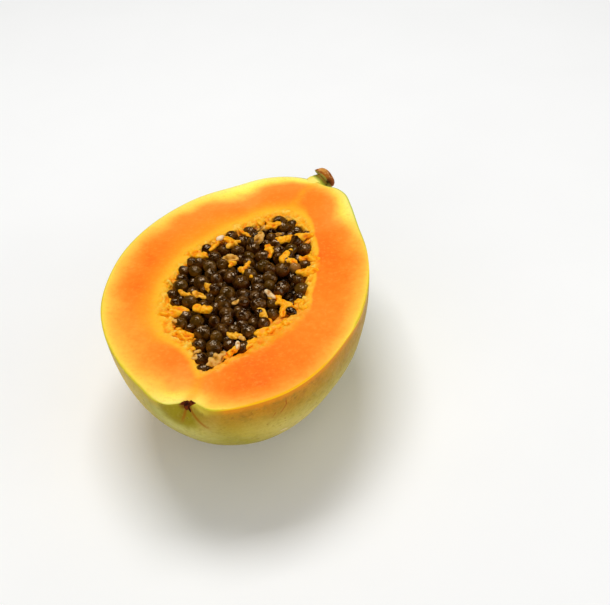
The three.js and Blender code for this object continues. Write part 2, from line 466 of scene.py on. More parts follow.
def add_node(
    tree: bpy.types.NodeTree,
    kind: str,
    inputs: dict[int | str, object] | None = None,
    stops: Sequence[tuple[float, str]] = (),
    **settings: object,
) -> bpy.types.Node:
    """Adds a node with its settings and links.

    Args:
        tree: Tree that gets the node.
        kind: Blender's name for the kind of node.
        inputs: By name or number, a value, a socket or a node, as connect() takes them.
        stops: Place and sRGB colour of each stop of a colour ramp.
        settings: Properties of the node.

    Returns:
        The node.
    """
    made = tree.nodes.new(kind)
    for name, value in settings.items():
        setattr(made, name, value)
    connect(tree, made, inputs or {})
    if stops:
        elements = made.color_ramp.elements
        elements.remove(elements[1])
        elements[0].position, elements[0].color = stops[0][0], srgb(stops[0][1])
        for place, colour in stops[1:]:
            elements.new(place).color = srgb(colour)
    return made


class Finish:
    """A material's node tree, with short ways to the steps that every finish here uses."""

    def __init__(self, name: str) -> None:
        """Starts a material of that name with its Principled shader."""
        self.material = bpy.data.materials.new(name)
        self.material.use_nodes = True
        self.tree = self.material.node_tree
        self.shader = self.tree.nodes["Principled BSDF"]
        self.node = partial(add_node, self.tree)
        self.place = self.node("ShaderNodeTexCoord").outputs["Object"]

    def value(self, name: str) -> bpy.types.NodeSocket:
        """A number that the mesh keeps at each point."""
        return self.node("ShaderNodeAttribute", attribute_name=name).outputs["Fac"]

    def mottle(self, size: float, detail: float = 2.0, **inputs: object) -> bpy.types.NodeSocket:
        """Soft noise from 0 to 1 whose blotches have a size in millimetres."""
        own = {"Vector": self.place, "Scale": per_metre(size), "Detail": detail, **inputs}
        return self.node("ShaderNodeTexNoise", own).outputs[0]

    def sum(self, operation: str, *terms: object, clamp: bool = False) -> bpy.types.NodeSocket:
        """One step of arithmetic on sockets and numbers."""
        inputs = dict(enumerate(terms))
        made = self.node("ShaderNodeMath", inputs, operation=operation, use_clamp=clamp)
        return made.outputs[0]

    def span(
        self, value: object, low: float, high: float, to: Pair = (0.0, 1.0), smooth: bool = True
    ) -> bpy.types.NodeSocket:
        """A value's way from low to high, as a share, or between two other numbers."""
        inputs = {"Value": value, "From Min": low, "From Max": high}
        inputs |= {"To Min": to[0], "To Max": to[1]}
        curve = "SMOOTHSTEP" if smooth else "LINEAR"
        made = self.node("ShaderNodeMapRange", inputs, interpolation_type=curve)
        return made.outputs["Result"]

    def mix(self, share: object, first: object, second: object) -> bpy.types.NodeSocket:
        """Colour between two, each a socket, a node or an sRGB hex value."""
        colours = [srgb(c) if isinstance(c, str) else c for c in (first, second)]
        inputs = {0: share, 6: colours[0], 7: colours[1]}
        return self.node("ShaderNodeMix", inputs, data_type="RGBA").outputs[2]

    def soften(self, weight: float, radius: Triple, reach: float) -> None:
        """Lets light sink in: its share, how far each colour goes, and that in millimetres."""
        kinds = {"Weight": weight, "Radius": radius, "Scale": reach * MM}
        connect(self.tree, self.shader, {f"Subsurface {key}": kinds[key] for key in kinds})

    def layers(self, base: object, *coats: tuple[object, object]) -> bpy.types.NodeSocket:
        """A colour with others laid over it in turn, each a pair of share and colour."""
        for share, colour in coats:
            base = self.mix(share, base, colour)
        return base

    def bump(self, height: object, depth: float, under: object = None) -> bpy.types.NodeSocket:
        """A surface direction with fine relief, depth millimetres deep."""
        inputs = {"Height": height, "Distance": depth * MM, "Strength": 1.0}
        if under is not None:
            inputs["Normal"] = under
        return self.node("ShaderNodeBump", inputs).outputs["Normal"]

    def stroke(self, start: Vector, end: Vector, width: float) -> bpy.types.NodeSocket:
        """Share from 0 to 1 of a short line drawn on the surface.

        Args:
            start: One end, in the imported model's metres.
            end: The other end.
            width: Width of the line in millimetres.

        Returns:
            1 on the line and 0 away from it.
        """
        wobble = self.mottle(3.0, 2.0)
        along = end - start
        unit = tuple(along / along.length_squared)
        step = partial(self.node, "ShaderNodeVectorMath")
        offset = step({0: self.place, 1: tuple(start)}, operation="SUBTRACT")
        reach = step({0: offset, 1: unit}, operation="DOT_PRODUCT").outputs["Value"]
        held = self.sum("MULTIPLY", reach, 1.0, clamp=True)
        nearest = step({0: tuple(along), "Scale": held}, operation="SCALE")
        away = step({0: offset, 1: nearest}, operation="DISTANCE").outputs["Value"]
        bent = self.sum("MULTIPLY_ADD", wobble, 1.2 * width * MM, away)
        return self.span(bent, 1.1 * width * MM, 0.5 * width * MM)

    def paint(
        self, colour: object, roughness: object, shine: float, normal: object = None
    ) -> bpy.types.Material:
        """Sets the shader's colour, roughness, shine and relief and gives the material."""
        own = {"Base Color": colour, "Roughness": roughness, "Specular IOR Level": shine}
        if normal is not None:
            own["Normal"] = normal
        connect(self.tree, self.shader, own)
        return self.material


@dataclass(frozen=True)
class RipeFlesh:
    """Knife-cut ripe papaya flesh: moist and translucent, so soft edged and hardly glossy.

    It runs from a yellow band under the skin to deep orange, and turns golden again by the
    fibrous lining of the seed hollow.
    """

    roughness: float = 0.46
    softness: float = 0.2
    grain_size: float = 0.9
    grain_depth: float = 0.05
    fibre_size: float = 1.3
    fibre_depth: float = 0.5
    ramp_reach: float = 2.4

    def material(self) -> bpy.types.Material:
        """The finished material."""
        f = Finish("ripe_papaya_flesh")
        drift = f.mottle(14.0, 3.0)
        fleck = f.mottle(2.2, 4.0)
        rim = f.sum("MULTIPLY", f.value("rim"), f.span(drift, 0.3, 0.7, (0.78, 1.22)))
        share = f.sum("ADD", f.sum("DIVIDE", rim, f.value("band")), f.value("start"))
        held = f.sum("SMOOTH_MIN", share, f.value("depth"), 0.35)
        spot = f.sum("MULTIPLY", held, f.span(fleck, 0.3, 0.7, (0.9, 1.1)))
        ramp = f.node(
            "ShaderNodeValToRGB",
            {"Fac": f.sum("DIVIDE", spot, self.ramp_reach)},
            (
                (0.00, "#c6b026"), (0.016, "#e8cc36"), (0.035, "#fcd648"), (0.075, "#feca46"),
                (0.13, "#febb40"), (0.20, "#feae39"), (0.29, "#fea030"), (0.41, "#fe9126"),
                (0.54, "#fe851a"), (0.70, "#fe7b12"), (0.86, "#fd700c"),
            ),
        )  # fmt: skip
        lemon = f.node(
            "ShaderNodeValToRGB",
            {"Fac": f.sum("DIVIDE", share, self.ramp_reach)},
            (
                (0.00, "#d8d040"), (0.02, "#fcf48c"), (0.08, "#fefe7a"), (0.16, "#fefa66"),
                (0.22, "#fdea58"), (0.29, "#ffc64c"), (0.36, "#ffab40"), (0.44, "#fe9634"),
                (0.62, "#fe9230"), (0.85, "#fe8620"),
            ),
        )  # fmt: skip
        outer = f.mix(f.value("lemon"), ramp, lemon)
        core = f.sum("MULTIPLY_ADD", f.sum("SUBTRACT", drift, 0.5), 5.0, f.value("core"))
        near = f.span(f.sum("DIVIDE", core, f.value("gold")), 1.6, 0.0)
        smooth, torn, rim = f.value("calm"), f.value("torn"), f.value("rim")
        near = f.sum("MULTIPLY", near, f.span(smooth, 0.0, 1.0, (1.0, 0.15)))
        golden = f.mix(f.span(core, 6.0, 0.5), "#fea018", "#feb926")
        strand = f.span(f.value("strand"), 3.6, 0.2)
        strand = f.sum("MULTIPLY", strand, f.span(f.mottle(4.0, 3.0), 0.25, 0.7, (0.25, 0.65)))
        # The torn lining's colour follows its relief: pale yellow on crests, deep orange in the
        # hollows; partly the fibres' own colour and partly painted light and shade.
        fibres = f.node(
            "ShaderNodeValToRGB",
            {"Fac": f.sum("MULTIPLY_ADD", fleck, 0.4, f.sum("MULTIPLY", f.value("crest"), 0.62))},
            (
                (0.14, "#e06206"), (0.30, "#f4800a"), (0.42, "#fe9a10"), (0.54, "#feac1c"),
                (0.66, "#feba2e"), (0.82, "#fecc54"),
            ),
        )  # fmt: skip
        calm = f.sum("MULTIPLY", smooth, f.span(f.mottle(3.2, 3.0), 0.36, 0.64, (0.0, 0.7)))
        fine = f.mottle(self.grain_size * 1.6, 2.0)
        ripe = f.span(f.value("start"), 0.08, 0.36)
        colour = f.layers(
            outer,
            (near, golden),
            (strand, "#fea414"),
            (torn, fibres),
            (f.sum("MULTIPLY", calm, torn), "#fd8c12"),
            (f.span(fine, 0.5, 0.75, (0.0, 0.22)), "#ffb04a"),
            (f.span(fine, 0.5, 0.25, (0.0, 0.16)), "#f6720e"),
            (f.sum("MULTIPLY", f.span(rim, 0.95, 0.1, (0.0, 0.85)), f.value("lime")), "#a8b828"),
            (f.sum("MULTIPLY", f.span(rim, 1.0, 0.1), ripe), "#ffb206"),
        )
        grain = f.bump(f.mottle(self.grain_size, 3.0), self.grain_depth)
        fibre = f.sum("MULTIPLY", f.mottle(self.fibre_size, 4.0), torn)
        normal = f.bump(fibre, self.fibre_depth, grain)
        wet = f.span(fleck, 0.3, 0.7, (self.roughness - 0.06, self.roughness + 0.06))
        f.soften(self.softness, (1.0, 0.35, 0.12), 3.0)
        return f.paint(colour, wet, 0.09, normal)


@dataclass(frozen=True)
class WaxySkin:
    """Thin waxy papaya rind, ripening from olive green to khaki yellow, with fine specks, and with
    painted shade, a painted highlight and painted sheen round the blossom scar and on the right side.
    """

    roughness: float = 0.45
    speck_size: float = 2.6
    mark_strength: float = 0.8
    marks: tuple[tuple[Triple, Triple, float, str], ...] = (
        ((41.2, -60.7, -2.6), (41.0, -60.3, -6.2), 0.7, "#984608"),
        ((41.0, -60.3, -6.2), (38.7, -61.8, -10.2), 0.75, "#984608"),
        ((37.8, -63.2, -8.4), (36.2, -63.9, -10.8), 0.6, "#a05c10"),
        ((35.3, -55.8, -24.9), (36.8, -53.0, -25.9), 1.7, "#ead0ae"),
        ((39.5, -47.6, -26.8), (39.8, -44.2, -28.6), 1.5, "#ead0ae"),
        ((8.3, -76.0, -6.0), (8.3, -76.0, -6.4), 0.9, "#4a3a0a"),
    )

    def material(self, place: Placement) -> bpy.types.Material:
        """The finished material, with the scratch and the lines by the blossom scar."""
        f = Finish("waxy_papaya_rind")
        broad = f.mottle(30.0, 2.0)
        fine = f.mottle(5.0, 4.0)
        streaks = f.mottle(3.0, 4.0)
        grain = f.mottle(1.1, 3.0)
        shade, blush, rim = f.value("shade"), f.value("blush"), f.value("rim")
        # Painted shade: dark olive under the rim left of the blossom scar, turning brown close to the
        # scar, where the brown is partly the scar's own.
        shade_and_scar_brown = f.mix(f.span(shade, 0.6, 1.0), "#94840f", "#80500a")
        rosy = f.sum("MULTIPLY", blush, f.span(fine, 0.3, 0.7, (1.1, 0.75)), clamp=True)
        smudge = f.span(f.mottle(6.0, 4.0), 0.46, 0.62)
        smudge = f.sum("MULTIPLY", smudge, f.sum("MULTIPLY_ADD", blush, 0.34, 0.06))
        scuffs = f.mottle(1.5, 4.0, Distortion=1.0)
        scuffed = f.sum("MULTIPLY", f.span(scuffs, 0.54, 0.7), f.span(broad, 0.35, 0.6, (0.2, 1.0)))
        worn = f.sum("MULTIPLY_ADD", blush, 0.42, 0.12)
        pattern = {"Vector": f.place, "Scale": per_metre(self.speck_size), "Randomness": 1.0}
        specks = f.node("ShaderNodeTexVoronoi", pattern).outputs["Distance"]
        speck = f.sum("MULTIPLY", f.span(specks, 0.22, 0.1), f.span(fine, 0.45, 0.6, (0.0, 0.55)))
        bare = f.span(shade, 0.4, 0.05, (0.1, 1.0))
        ripe = f.span(blush, 0.1, 0.6)
        ember = f.mix(ripe, "#c8a820", "#ea8c0a")
        bright = f.mix(ripe, "#d4c42a", "#ffc80a")
        base = f.layers(
            f.mix(f.span(broad, 0.35, 0.65), "#b6a236", "#a0942c"),
            (f.span(fine, 0.45, 0.75, (0.0, 0.5)), "#c4b04e"),
            (f.value("green"), "#a8a43a"),
            (f.value("warm"), "#a2801a"),
            (f.value("pale"), "#dab844"),
            # Painted sheen on the right side and painted light on the underside below the blossom
            # scar.
            (f.value("bloom"), "#dccb7c"),
            (f.span(shade, 0.0, 0.6), shade_and_scar_brown),
            # Painted highlight: bright yellow-green on the rolled rim and the furrow's lips right of
            # the blossom scar, over the skin's own yellow-green.
            (f.value("lip"), "#f0e454"),
            (rosy, "#c47c12"),
            (smudge, "#8e560a"),
            (f.span(streaks, 0.52, 0.72, (0.0, 0.35)), "#8c7a20"),
            (f.span(grain, 0.48, 0.8, (0.0, 0.12)), "#d4c068"),
            (f.span(grain, 0.52, 0.26, (0.0, 0.24)), "#84701c"),
            (f.sum("MULTIPLY", scuffed, worn), "#7c4c0e"),
            (speck, "#8a5a14"),
            (f.sum("MULTIPLY", f.span(rim, 4.0, 0.8, (0.0, 0.7)), bare), ember),
            (f.sum("MULTIPLY", f.span(rim, 1.1, 0.3, (0.0, 0.95)), bare), bright),
            # Dark line in the two creases by the blossom scar: painted shade in their valleys, over
            # the lines' own brown.
            (f.value("crease"), "#9a6206"),
        )
        for start, end, width, colour in self.marks:
            stroke = f.stroke(place.vector(start), place.vector(end), width)
            base = f.mix(f.sum("MULTIPLY", stroke, self.mark_strength), base, colour)
        wax = f.span(f.mottle(2.5, 3.0), 0.3, 0.7, (self.roughness - 0.06, self.roughness + 0.08))
        normal = f.bump(f.mottle(0.8, 3.0), 0.05)
        f.soften(0.06, (1.0, 0.6, 0.15), 2.0)
        return f.paint(base, wax, 0.1, normal)


@dataclass(frozen=True)
class WetSeedCoat:
    """Papaya seeds in wet jelly coats: near black on top, with painted light in amber on their lower
    sides, where light shines through the jelly.
    """

    roughness: float = 0.12

    def material(self) -> bpy.types.Material:
        """The finished material."""
        f = Finish("wet_papaya_seed_coat")
        tone = f.value("tone")
        patch = f.mottle(2.6, 3.0)
        top = f.mix(f.span(patch, 0.35, 0.65), "#260f02", "#5c390d")
        # Painted light: amber on the seeds' lower sides, where light shines through the jelly coat.
        under = f.mix(f.span(tone, 0.3, 1.0), "#602a02", "#9c5e08")
        low = f.sum("MULTIPLY_ADD", f.sum("SUBTRACT", patch, 0.5), 0.7, f.value("under"))
        base = f.layers(
            top,
            (f.span(low, 0.12, 0.72), under),
            (f.span(tone, 0.5, 1.1, (0.0, 0.45)), "#62460e"),
            (f.span(tone, 1.2, 2.0), "#a06a2a"),
            # Painted shade: seeds of low tone, mostly the lower layer's, go near black between the
            # top seeds.
            (f.span(tone, 0.0, -0.6), "#120502"),
        )
        creases = f.bump(f.mottle(2.6, 1.0, Distortion=0.8), 1.0)
        normal = f.bump(f.mottle(1.0, 2.0, Distortion=0.6), 0.2, creases)
        gloss = f.span(patch, 0.35, 0.65, (self.roughness, self.roughness + 0.14))
        connect(f.tree, f.shader, {"Specular Tint": srgb("#ffe2bc")})
        return f.paint(base, gloss, 0.85, normal)


@dataclass(frozen=True)
class SeedBedPulp:
    """Wet pulp under the seeds, golden by the wall; further in, near black with orange threads, which
    is painted shade between the seeds.
    """

    def material(self) -> bpy.types.Material:
        """The finished material."""
        f = Finish("dark_seed_pulp")
        thread = f.mottle(3.0, 4.0, Distortion=1.5)
        # Painted shade: near black with orange threads where the seeds cover the pulp.
        painted_shade_inner = f.mix(f.span(thread, 0.52, 0.66), "#120602", "#6a3208")
        wall = f.mix(f.span(thread, 0.35, 0.65), "#c8690c", "#f2a526")
        near = f.sum("MULTIPLY_ADD", f.sum("SUBTRACT", f.mottle(4.0, 2.0), 0.5), 7.0, f.value("wall"))
        base = f.mix(f.span(near, 4.4, 1.2), painted_shade_inner, wall)
        normal = f.bump(f.mottle(1.4, 3.0), 0.4)
        return f.paint(base, 0.45, 0.2, normal)


class PulpKind(Enum):
    """Kinds of loose pulp and unripe seeds between the seeds."""

    ORANGE = "orange_pulp"
    GOLDEN = "golden_pulp"
    TAN = "tan_membrane"
    CREAM = "unripe_seed"


@dataclass(frozen=True)
class PulpFlesh:
    """Soft torn pulp or an unripe seed: wet and a little translucent, paler on its crests and tops
    and darker in its hollows, partly its own colour and partly painted light and shade.
    """

    kind: PulpKind

    def material(self) -> bpy.types.Material:
        """The finished material."""
        low, middle, high, tip = {
            PulpKind.ORANGE: ("#ea7602", "#fa9204", "#ffa20a", "#ffb41e"),
            PulpKind.GOLDEN: ("#b87204", "#de900a", "#f0a218", "#f8b634"),
            PulpKind.TAN: ("#83510a", "#b67918", "#d29434", "#e5b058"),
            PulpKind.CREAM: ("#c08848", "#e0b478", "#ecc894", "#f4dab0"),
        }[self.kind]
        f = Finish(self.kind.value)
        # Painted light and shade: from dark in the hollows to pale on the crests and tops, over the
        # pulp's own blotches.
        crest = f.sum("MULTIPLY", f.value("crest"), 0.6)
        blotch = f.sum("MULTIPLY_ADD", f.mottle(2.0, 4.0), 0.6, crest)
        stops = ((0.3, low), (0.48, middle), (0.66, high), (0.84, tip))
        ramp = f.node("ShaderNodeValToRGB", {"Fac": blotch}, stops)
        normal = f.bump(f.mottle(0.9, 3.0), 0.25)
        f.soften(0.12, (1.0, 0.4, 0.12), 1.5)
        return f.paint(ramp, 0.32, 0.14, normal)


@dataclass(frozen=True)
class StemNeck:
    """Fresh stem neck: olive green, pale yellow where it joins the flesh, dark olive towards the cap
    as painted shade under it, faintly ribbed.
    """

    def material(self) -> bpy.types.Material:
        """The finished material."""
        f = Finish("green_stem_neck")
        along = f.value("along")
        blotch = f.mottle(3.0, 3.0)
        shaded = f.sum("MULTIPLY_ADD", f.sum("SUBTRACT", blotch, 0.5), 0.12, along)
        # Pale yellow by the flesh to olive green; the dark olive at the cap's end is painted shade
        # under the cap.
        ramp = f.node(
            "ShaderNodeValToRGB",
            {"Fac": shaded},
            (
                (0.05, "#fee464"), (0.34, "#f0e05c"), (0.52, "#bcb838"), (0.66, "#989c24"),
                (0.86, "#7a6c08"), (1.0, "#8a6a14"),
            ),
        )  # fmt: skip
        normal = f.bump(f.mottle(1.2, 3.0), 0.12)
        return f.paint(ramp, 0.5, 0.35, normal)


@dataclass(frozen=True)
class DriedStemCap:
    """Dried cork over the stem's scar: rough, tan to red-brown, with painted light on its lit side
    and painted shade, near black, in its cleft.
    """

    def material(self) -> bpy.types.Material:
        """The finished material."""
        f = Finish("dried_stem_cork")
        fine = f.mottle(1.3, 4.0)
        broad = f.mottle(4.0, 2.0)
        base = f.layers(
            f.mix(f.span(broad, 0.35, 0.65), "#a8620e", "#8a4206"),
            # Painted light: lighter tan on the cap's lit side.
            (f.span(f.value("lit"), 0.2, 0.9, (0.0, 0.8)), "#d8963e"),
            (f.span(fine, 0.52, 0.7, (0.0, 0.6)), "#e0a468"),
            (f.value("lip"), "#b4ac4a"),
            # Painted shade: near black in the cleft under the cap's lip.
            (f.value("cleft"), "#2c1604"),
        )
        normal = f.bump(fine, 0.4)
        return f.paint(base, 0.72, 0.25, normal)


@dataclass(frozen=True)
class DriedBlossom:
    """Black-brown dried remains of the blossom, reddish at the edges and dull."""

    def material(self) -> bpy.types.Material:
        """The finished material."""
        f = Finish("dried_blossom_scar")
        base = f.mix(f.span(f.mottle(1.4, 3.0), 0.35, 0.65), "#2c0c02", "#6e2c06")
        normal = f.bump(f.mottle(0.7, 3.0), 0.3)
        return f.paint(base, 0.8, 0.1, normal)


# ---- flesh and skin ----


@dataclass(frozen=True)
class Flesh:
    """The half's flesh and skin in one closed mesh: bowl, cut face, lining and hollow.

    Attributes:
        wall_angles: Degrees down the hollow's wall.
        rim_insets: Distances from the rim of the first points, which round it off.
        rim_drop: How much lower the rim lies than the cut face.
        rest_height: Depth under the cut plane of the flat spot it rests on.
        band: Width round the rim of the fruit's paler outer band.
        start: How ripe the flesh is right under the skin.
        depth: How ripe it gets further in.
        gold: Width of the golden flesh by the lining.
        lemon: How lemon yellow the outer band is.
        blush: How rosy the skin under the rim is.
        lime: How green the rim's thin line is.
        creases: Lines of the two creases by the blossom scar.
        crease_depth: Depth of their valleys.
        crease_width: Half width of the dark line.
        valley_width: Half width of the valley.
        face_swell: Height and size of the cut face's soft swells.
        skin_swell: The same for the skin.
        skin_dimples: The same for its fine dimples.
        ragged: Reach and size of the lining's ragged bays.
        torn_edge: Ragged distances between which the flesh goes from cut to torn.
        lump_size: Size of the torn lining's lumps.
        crumb_size: Size of its crumbs.
        smooth_right: Where along x the lining turns smooth.
        smooth_near: Where along y it does.
        rim_loop: Radians down from the rim of the skin's first extra row.
        wall_core: Distance into the hollow that the wall's colour stands for.
        wall_value: Torn look of the wall.
        wall_lean: Share that the wall leans in for each millimetre down.
    """

    form: FruitForm
    place: Placement
    stations: int = 230
    skin_sides: int = 84
    face_steps: int = 27
    lining_steps: int = 14
    wall_angles: tuple[float, ...] = (12, 24, 38, 52, 66, 80)
    rim_insets: tuple[float, ...] = (0.15, 0.45, 0.9)
    rim_drop: float = 0.18
    rest_height: float = 54.11
    band: RingProfile = RingProfile(
        (
            (0, 7), (8, 5.6), (11, 5.4), (17, 7.8), (27, 9.4), (42, 6.8), (62, 6.5), (84, 7.8),
            (96, 9.2), (105, 9.8), (124, 6.4), (139, 8), (152, 6), (163, 7.2), (172, 11),
            (178, 12.5), (187, 11.8), (198, 12.6), (215, 10.9), (235, 10), (259, 6.7), (284, 7.1),
            (306, 8.2), (325, 9), (344, 12.4), (355, 8),
        )
    )  # fmt: skip
    start: RingProfile = RingProfile(
        (
            (0, 0.0), (50, 0.0), (62, 0.1), (76, 0.0), (106, 0.0), (116, 0.08), (125, 0.16),
            (134, 0.32), (140, 0.4), (152, 0.4), (158, 0.22), (165, 0.03), (172, 0.0),
        )
    )  # fmt: skip
    depth: RingProfile = RingProfile(
        (
            (0, 1.5), (18, 1.35), (30, 2.1), (41, 2.4), (62, 1.7), (84, 1.4), (110, 1.15),
            (126, 1.25), (140, 1.6), (156, 2.0), (170, 1.2), (184, 1.5), (200, 1.1),
            (216, 0.78), (236, 1.4), (257, 2.9), (270, 2.5), (285, 1.5), (306, 1.2), (325, 1.15),
            (342, 0.9),
        )
    )  # fmt: skip
    gold: RingProfile = RingProfile(
        (
            (0, 6.5), (9, 5), (16, 1.5), (30, 0.9), (110, 0.9), (138, 1.2), (151, 3),
            (166, 1.4), (190, 2.8), (212, 7), (236, 8), (270, 9), (284, 9), (306, 11),
            (325, 10.5), (345, 7),
        )
    )  # fmt: skip
    lemon: RingProfile = RingProfile(
        (
            (0, 0.75), (5, 0.7), (8, 0.2), (11, 0.1), (16, 0.5), (26, 0.75), (40, 0.22),
            (52, 0.0), (166, 0.0), (171, 0.3), (179, 0.62), (187, 0.15), (196, 0.0), (290, 0.1),
            (308, 0.35),
            (325, 0.6), (342, 1.0), (353, 0.7),
        )
    )  # fmt: skip
    blush: RingProfile = RingProfile(
        (
            (0, 0.0), (66, 0.0), (82, 0.2), (98, 0.35), (112, 0.5), (126, 0.65), (140, 0.9),
            (150, 1.0), (159, 0.75), (168, 0.12), (173, 0.0), (270, 0.0),
        )
    )  # fmt: skip
    lime: RingProfile = RingProfile(((0, 0.0), (10, 0.5), (15, 1.0), (28, 1.0), (42, 0.6), (64, 0.0)))
    creases: tuple[tuple[Triple, ...], ...] = (
        ((8.0, -74.9, -2.4), (7.3, -76, -5.3), (6.7, -76.4, -6.8), (4.9, -76.2, -9.9)),
        (
            (9.6, -74.6, -2.4), (10.6, -75.1, -4.2), (12.1, -75.8, -5.9), (13.7, -76, -7.8),
            (15.3, -75.5, -9.9), (17.2, -74.2, -12.2),
        ),
    )  # fmt: skip
    crease_depth: float = 0.55
    crease_width: float = 0.65
    valley_width: float = 1.5
    face_swell: Pair = (0.35, 26)
    skin_swell: Pair = (0.4, 24)
    skin_dimples: Pair = (0.07, 6)
    ragged: Pair = (2.2, 6.5)
    torn_edge: Pair = (1.1, -1.5)
    lump_size: float = 4.6
    crumb_size: float = 1.9
    smooth_right: Pair = (5, 13)
    smooth_near: Pair = (-8, -16)
    rim_loop: float = 0.011
    wall_core: float = -8.0
    wall_value: float = 0.9
    wall_lean: float = 0.02

    def face(self, rim: Array, hollow: Array) -> tuple[Array, Array]:
        """Points from a rim inwards to the hollow's edge, and how far in each lies.

        Args:
            rim: Rim points (count, 2).
            hollow: Points of the hollow's edge (count, 2).

        Returns:
            Points (count, steps, 2) and distances from the rim point (count, steps).
        """
        length = np.linalg.norm(hollow - rim, axis=1)[:, None]
        fixed = np.array(self.rim_insets)[None] / length
        even = np.linspace(0, 1, self.face_steps + 1)[1:]
        rest = fixed[:, -1:] + (1 - fixed[:, -1:]) * even
        share = np.concatenate([fixed, rest], axis=1)
        points = rim[:, None] + (hollow - rim)[:, None] * share[..., None]
        return points, share * length

    def torn(self, points: Array) -> tuple[Array, Array, Array, Array]:
        """The lining's raggedness over the cut plane.

        Args:
            points: Places (..., 3) at Z = 0.

        Returns:
            Distance outwards from the hollow's edge in millimetres, how torn the place is
            from 0 to 1, how far it stands out from -1 to 1, and how smooth the lining is there.
        """
        edge = self.form.ring(self.form.left_hollow, self.form.right_hollow)
        away = ring_gap(points, edge)
        held = inside(points[..., :2].reshape(-1, 2), edge).reshape(away.shape)
        away = np.where(held, -away, away)
        reach, bay = self.ragged
        ragged = away + reach * waves(points, bay, 3, 3.1)
        smooth = ease(points[..., 0], *self.smooth_right) * ease(points[..., 1], *self.smooth_near)
        share = ease(ragged, *self.torn_edge)
        lumps = 1 - 2 * np.abs(waves(points, self.lump_size, 2, 7.7))
        crumbs = waves(points, self.crumb_size, 3, 1.3)
        crest = 0.6 * lumps + 0.75 * crumbs * (1 - 0.4 * smooth)
        return away, share * (1 - 0.25 * smooth), crest, smooth

    def cut_height(self, points: Array, inset: Array) -> tuple[Array, dict[str, Array]]:
        """Height of the cut face and lining, and what their colours need.

        Args:
            points: Places (..., 3) at Z = 0.
            inset: Distance inwards from the rim (...).

        Returns:
            Heights and named values.
        """
        away, torn, crest, calm = self.torn(points)
        bevel = -self.rim_drop * np.clip(1 - inset / self.rim_insets[1], 0, 1) ** 2
        rise, size = self.face_swell
        swell = rise * waves(points, size, 2) * ease(inset, 0, 10)
        sink = torn * (0.3 + 0.3 * np.clip(-away, 0, 8))
        lumps = torn * (0.1 + 1.1 * crest) * (0.7 + 0.7 * ease(-away, 0, 4))
        height = bevel + swell * (1 - torn) - sink + lumps
        return height, {"core": away, "torn": torn, "crest": (crest + 1) / 2, "calm": calm}

    def rows(self) -> tuple[Array, dict[str, Array], int]:
        """Every section of the half as one closed row of points.

        Returns:
            Points (stations + 1, columns, 3), named values (stations + 1, columns), and the
            number of columns before the skin's.
        """
        form, shares = self.form, self.form.shares(self.stations)
        rims = (form.left_rim.at(shares), form.right_rim.at(shares))
        hollows = (form.left_hollow.at(shares), form.right_hollow.at(shares))
        seeds = (form.left_seeds.at(shares), form.right_seeds.at(shares))
        steps = np.linspace(0, 1, self.lining_steps + 1)[1:, None]
        tops, insets = [], []
        for rim, hollow, seed in zip(rims, hollows, seeds):
            face, inset = self.face(rim, hollow)
            lining = hollow[:, None] + (seed - hollow)[:, None] * steps
            tops.append(np.concatenate([face, lining], axis=1))
            insets.append(np.concatenate([inset, inset[:, -1:] + np.ones((1, len(steps)))], axis=1))
        top = np.concatenate([tops[0], tops[1][:, ::-1]], axis=1)
        inset = np.concatenate([insets[0], insets[1][:, ::-1]], axis=1)
        top = np.concatenate([top, np.zeros((*top.shape[:2], 1))], axis=2)
        height, values = self.cut_height(top, inset)
        top[..., 2] = height
        half = tops[0].shape[1]
        walls = self.walls(seeds, top[:, half - 1, 2], top[:, half, 2])
        skin, skin_values = self.skin_rows(shares)
        rows = np.concatenate([top[:, :half], walls, top[:, half:], skin], axis=1)
        count = len(shares)
        deep = np.full((count, walls.shape[1]), 1.0)
        for key, value in values.items():
            wall = deep * (self.wall_core if key == "core" else self.wall_value)
            values[key] = np.concatenate([value[:, :half], wall, value[:, half:]], axis=1)
        flat = rows[:, : half * 2 + walls.shape[1]]
        values["rim"] = ring_gap(flat, form.ring(form.left_rim, form.right_rim))
        values["strand"] = self.strand_distance(flat)
        for name in ("band", "start", "depth", "gold", "lemon", "lime"):
            values[name] = getattr(self, name).at(flat)
        joined = {}
        for key in sorted(set(values) | set(skin_values)):
            first = values.get(key, np.zeros(flat.shape[:2]))
            second = skin_values.get(key, np.zeros(skin.shape[:2]))
            if key not in skin_values:
                second[:, [0, -1]] = first[:, [-1, 0]]
            elif key not in values:
                first[:, [-1, 0]] = np.broadcast_to(second, skin.shape[:2])[:, [0, -1]]
            joined[key] = np.concatenate([first, second], axis=1)
        return rows, joined, flat.shape[1]

    def strand_distance(self, points: Array) -> Array:
        """Distance to the strands that join the hollow's two ends to the scar and the stem."""
        ends = (
            np.array([self.form.scar_at, (8.8, -68), (7.6, -59.5)]),
            np.array([self.form.stem_at, (5.0, 64), (4.0, 51.5)]),
        )
        flat = points[..., :2].reshape(-1, 2)
        away = np.minimum(*[segment_distance(flat, end)[0] for end in ends])
        return away.reshape(points.shape[:-1])

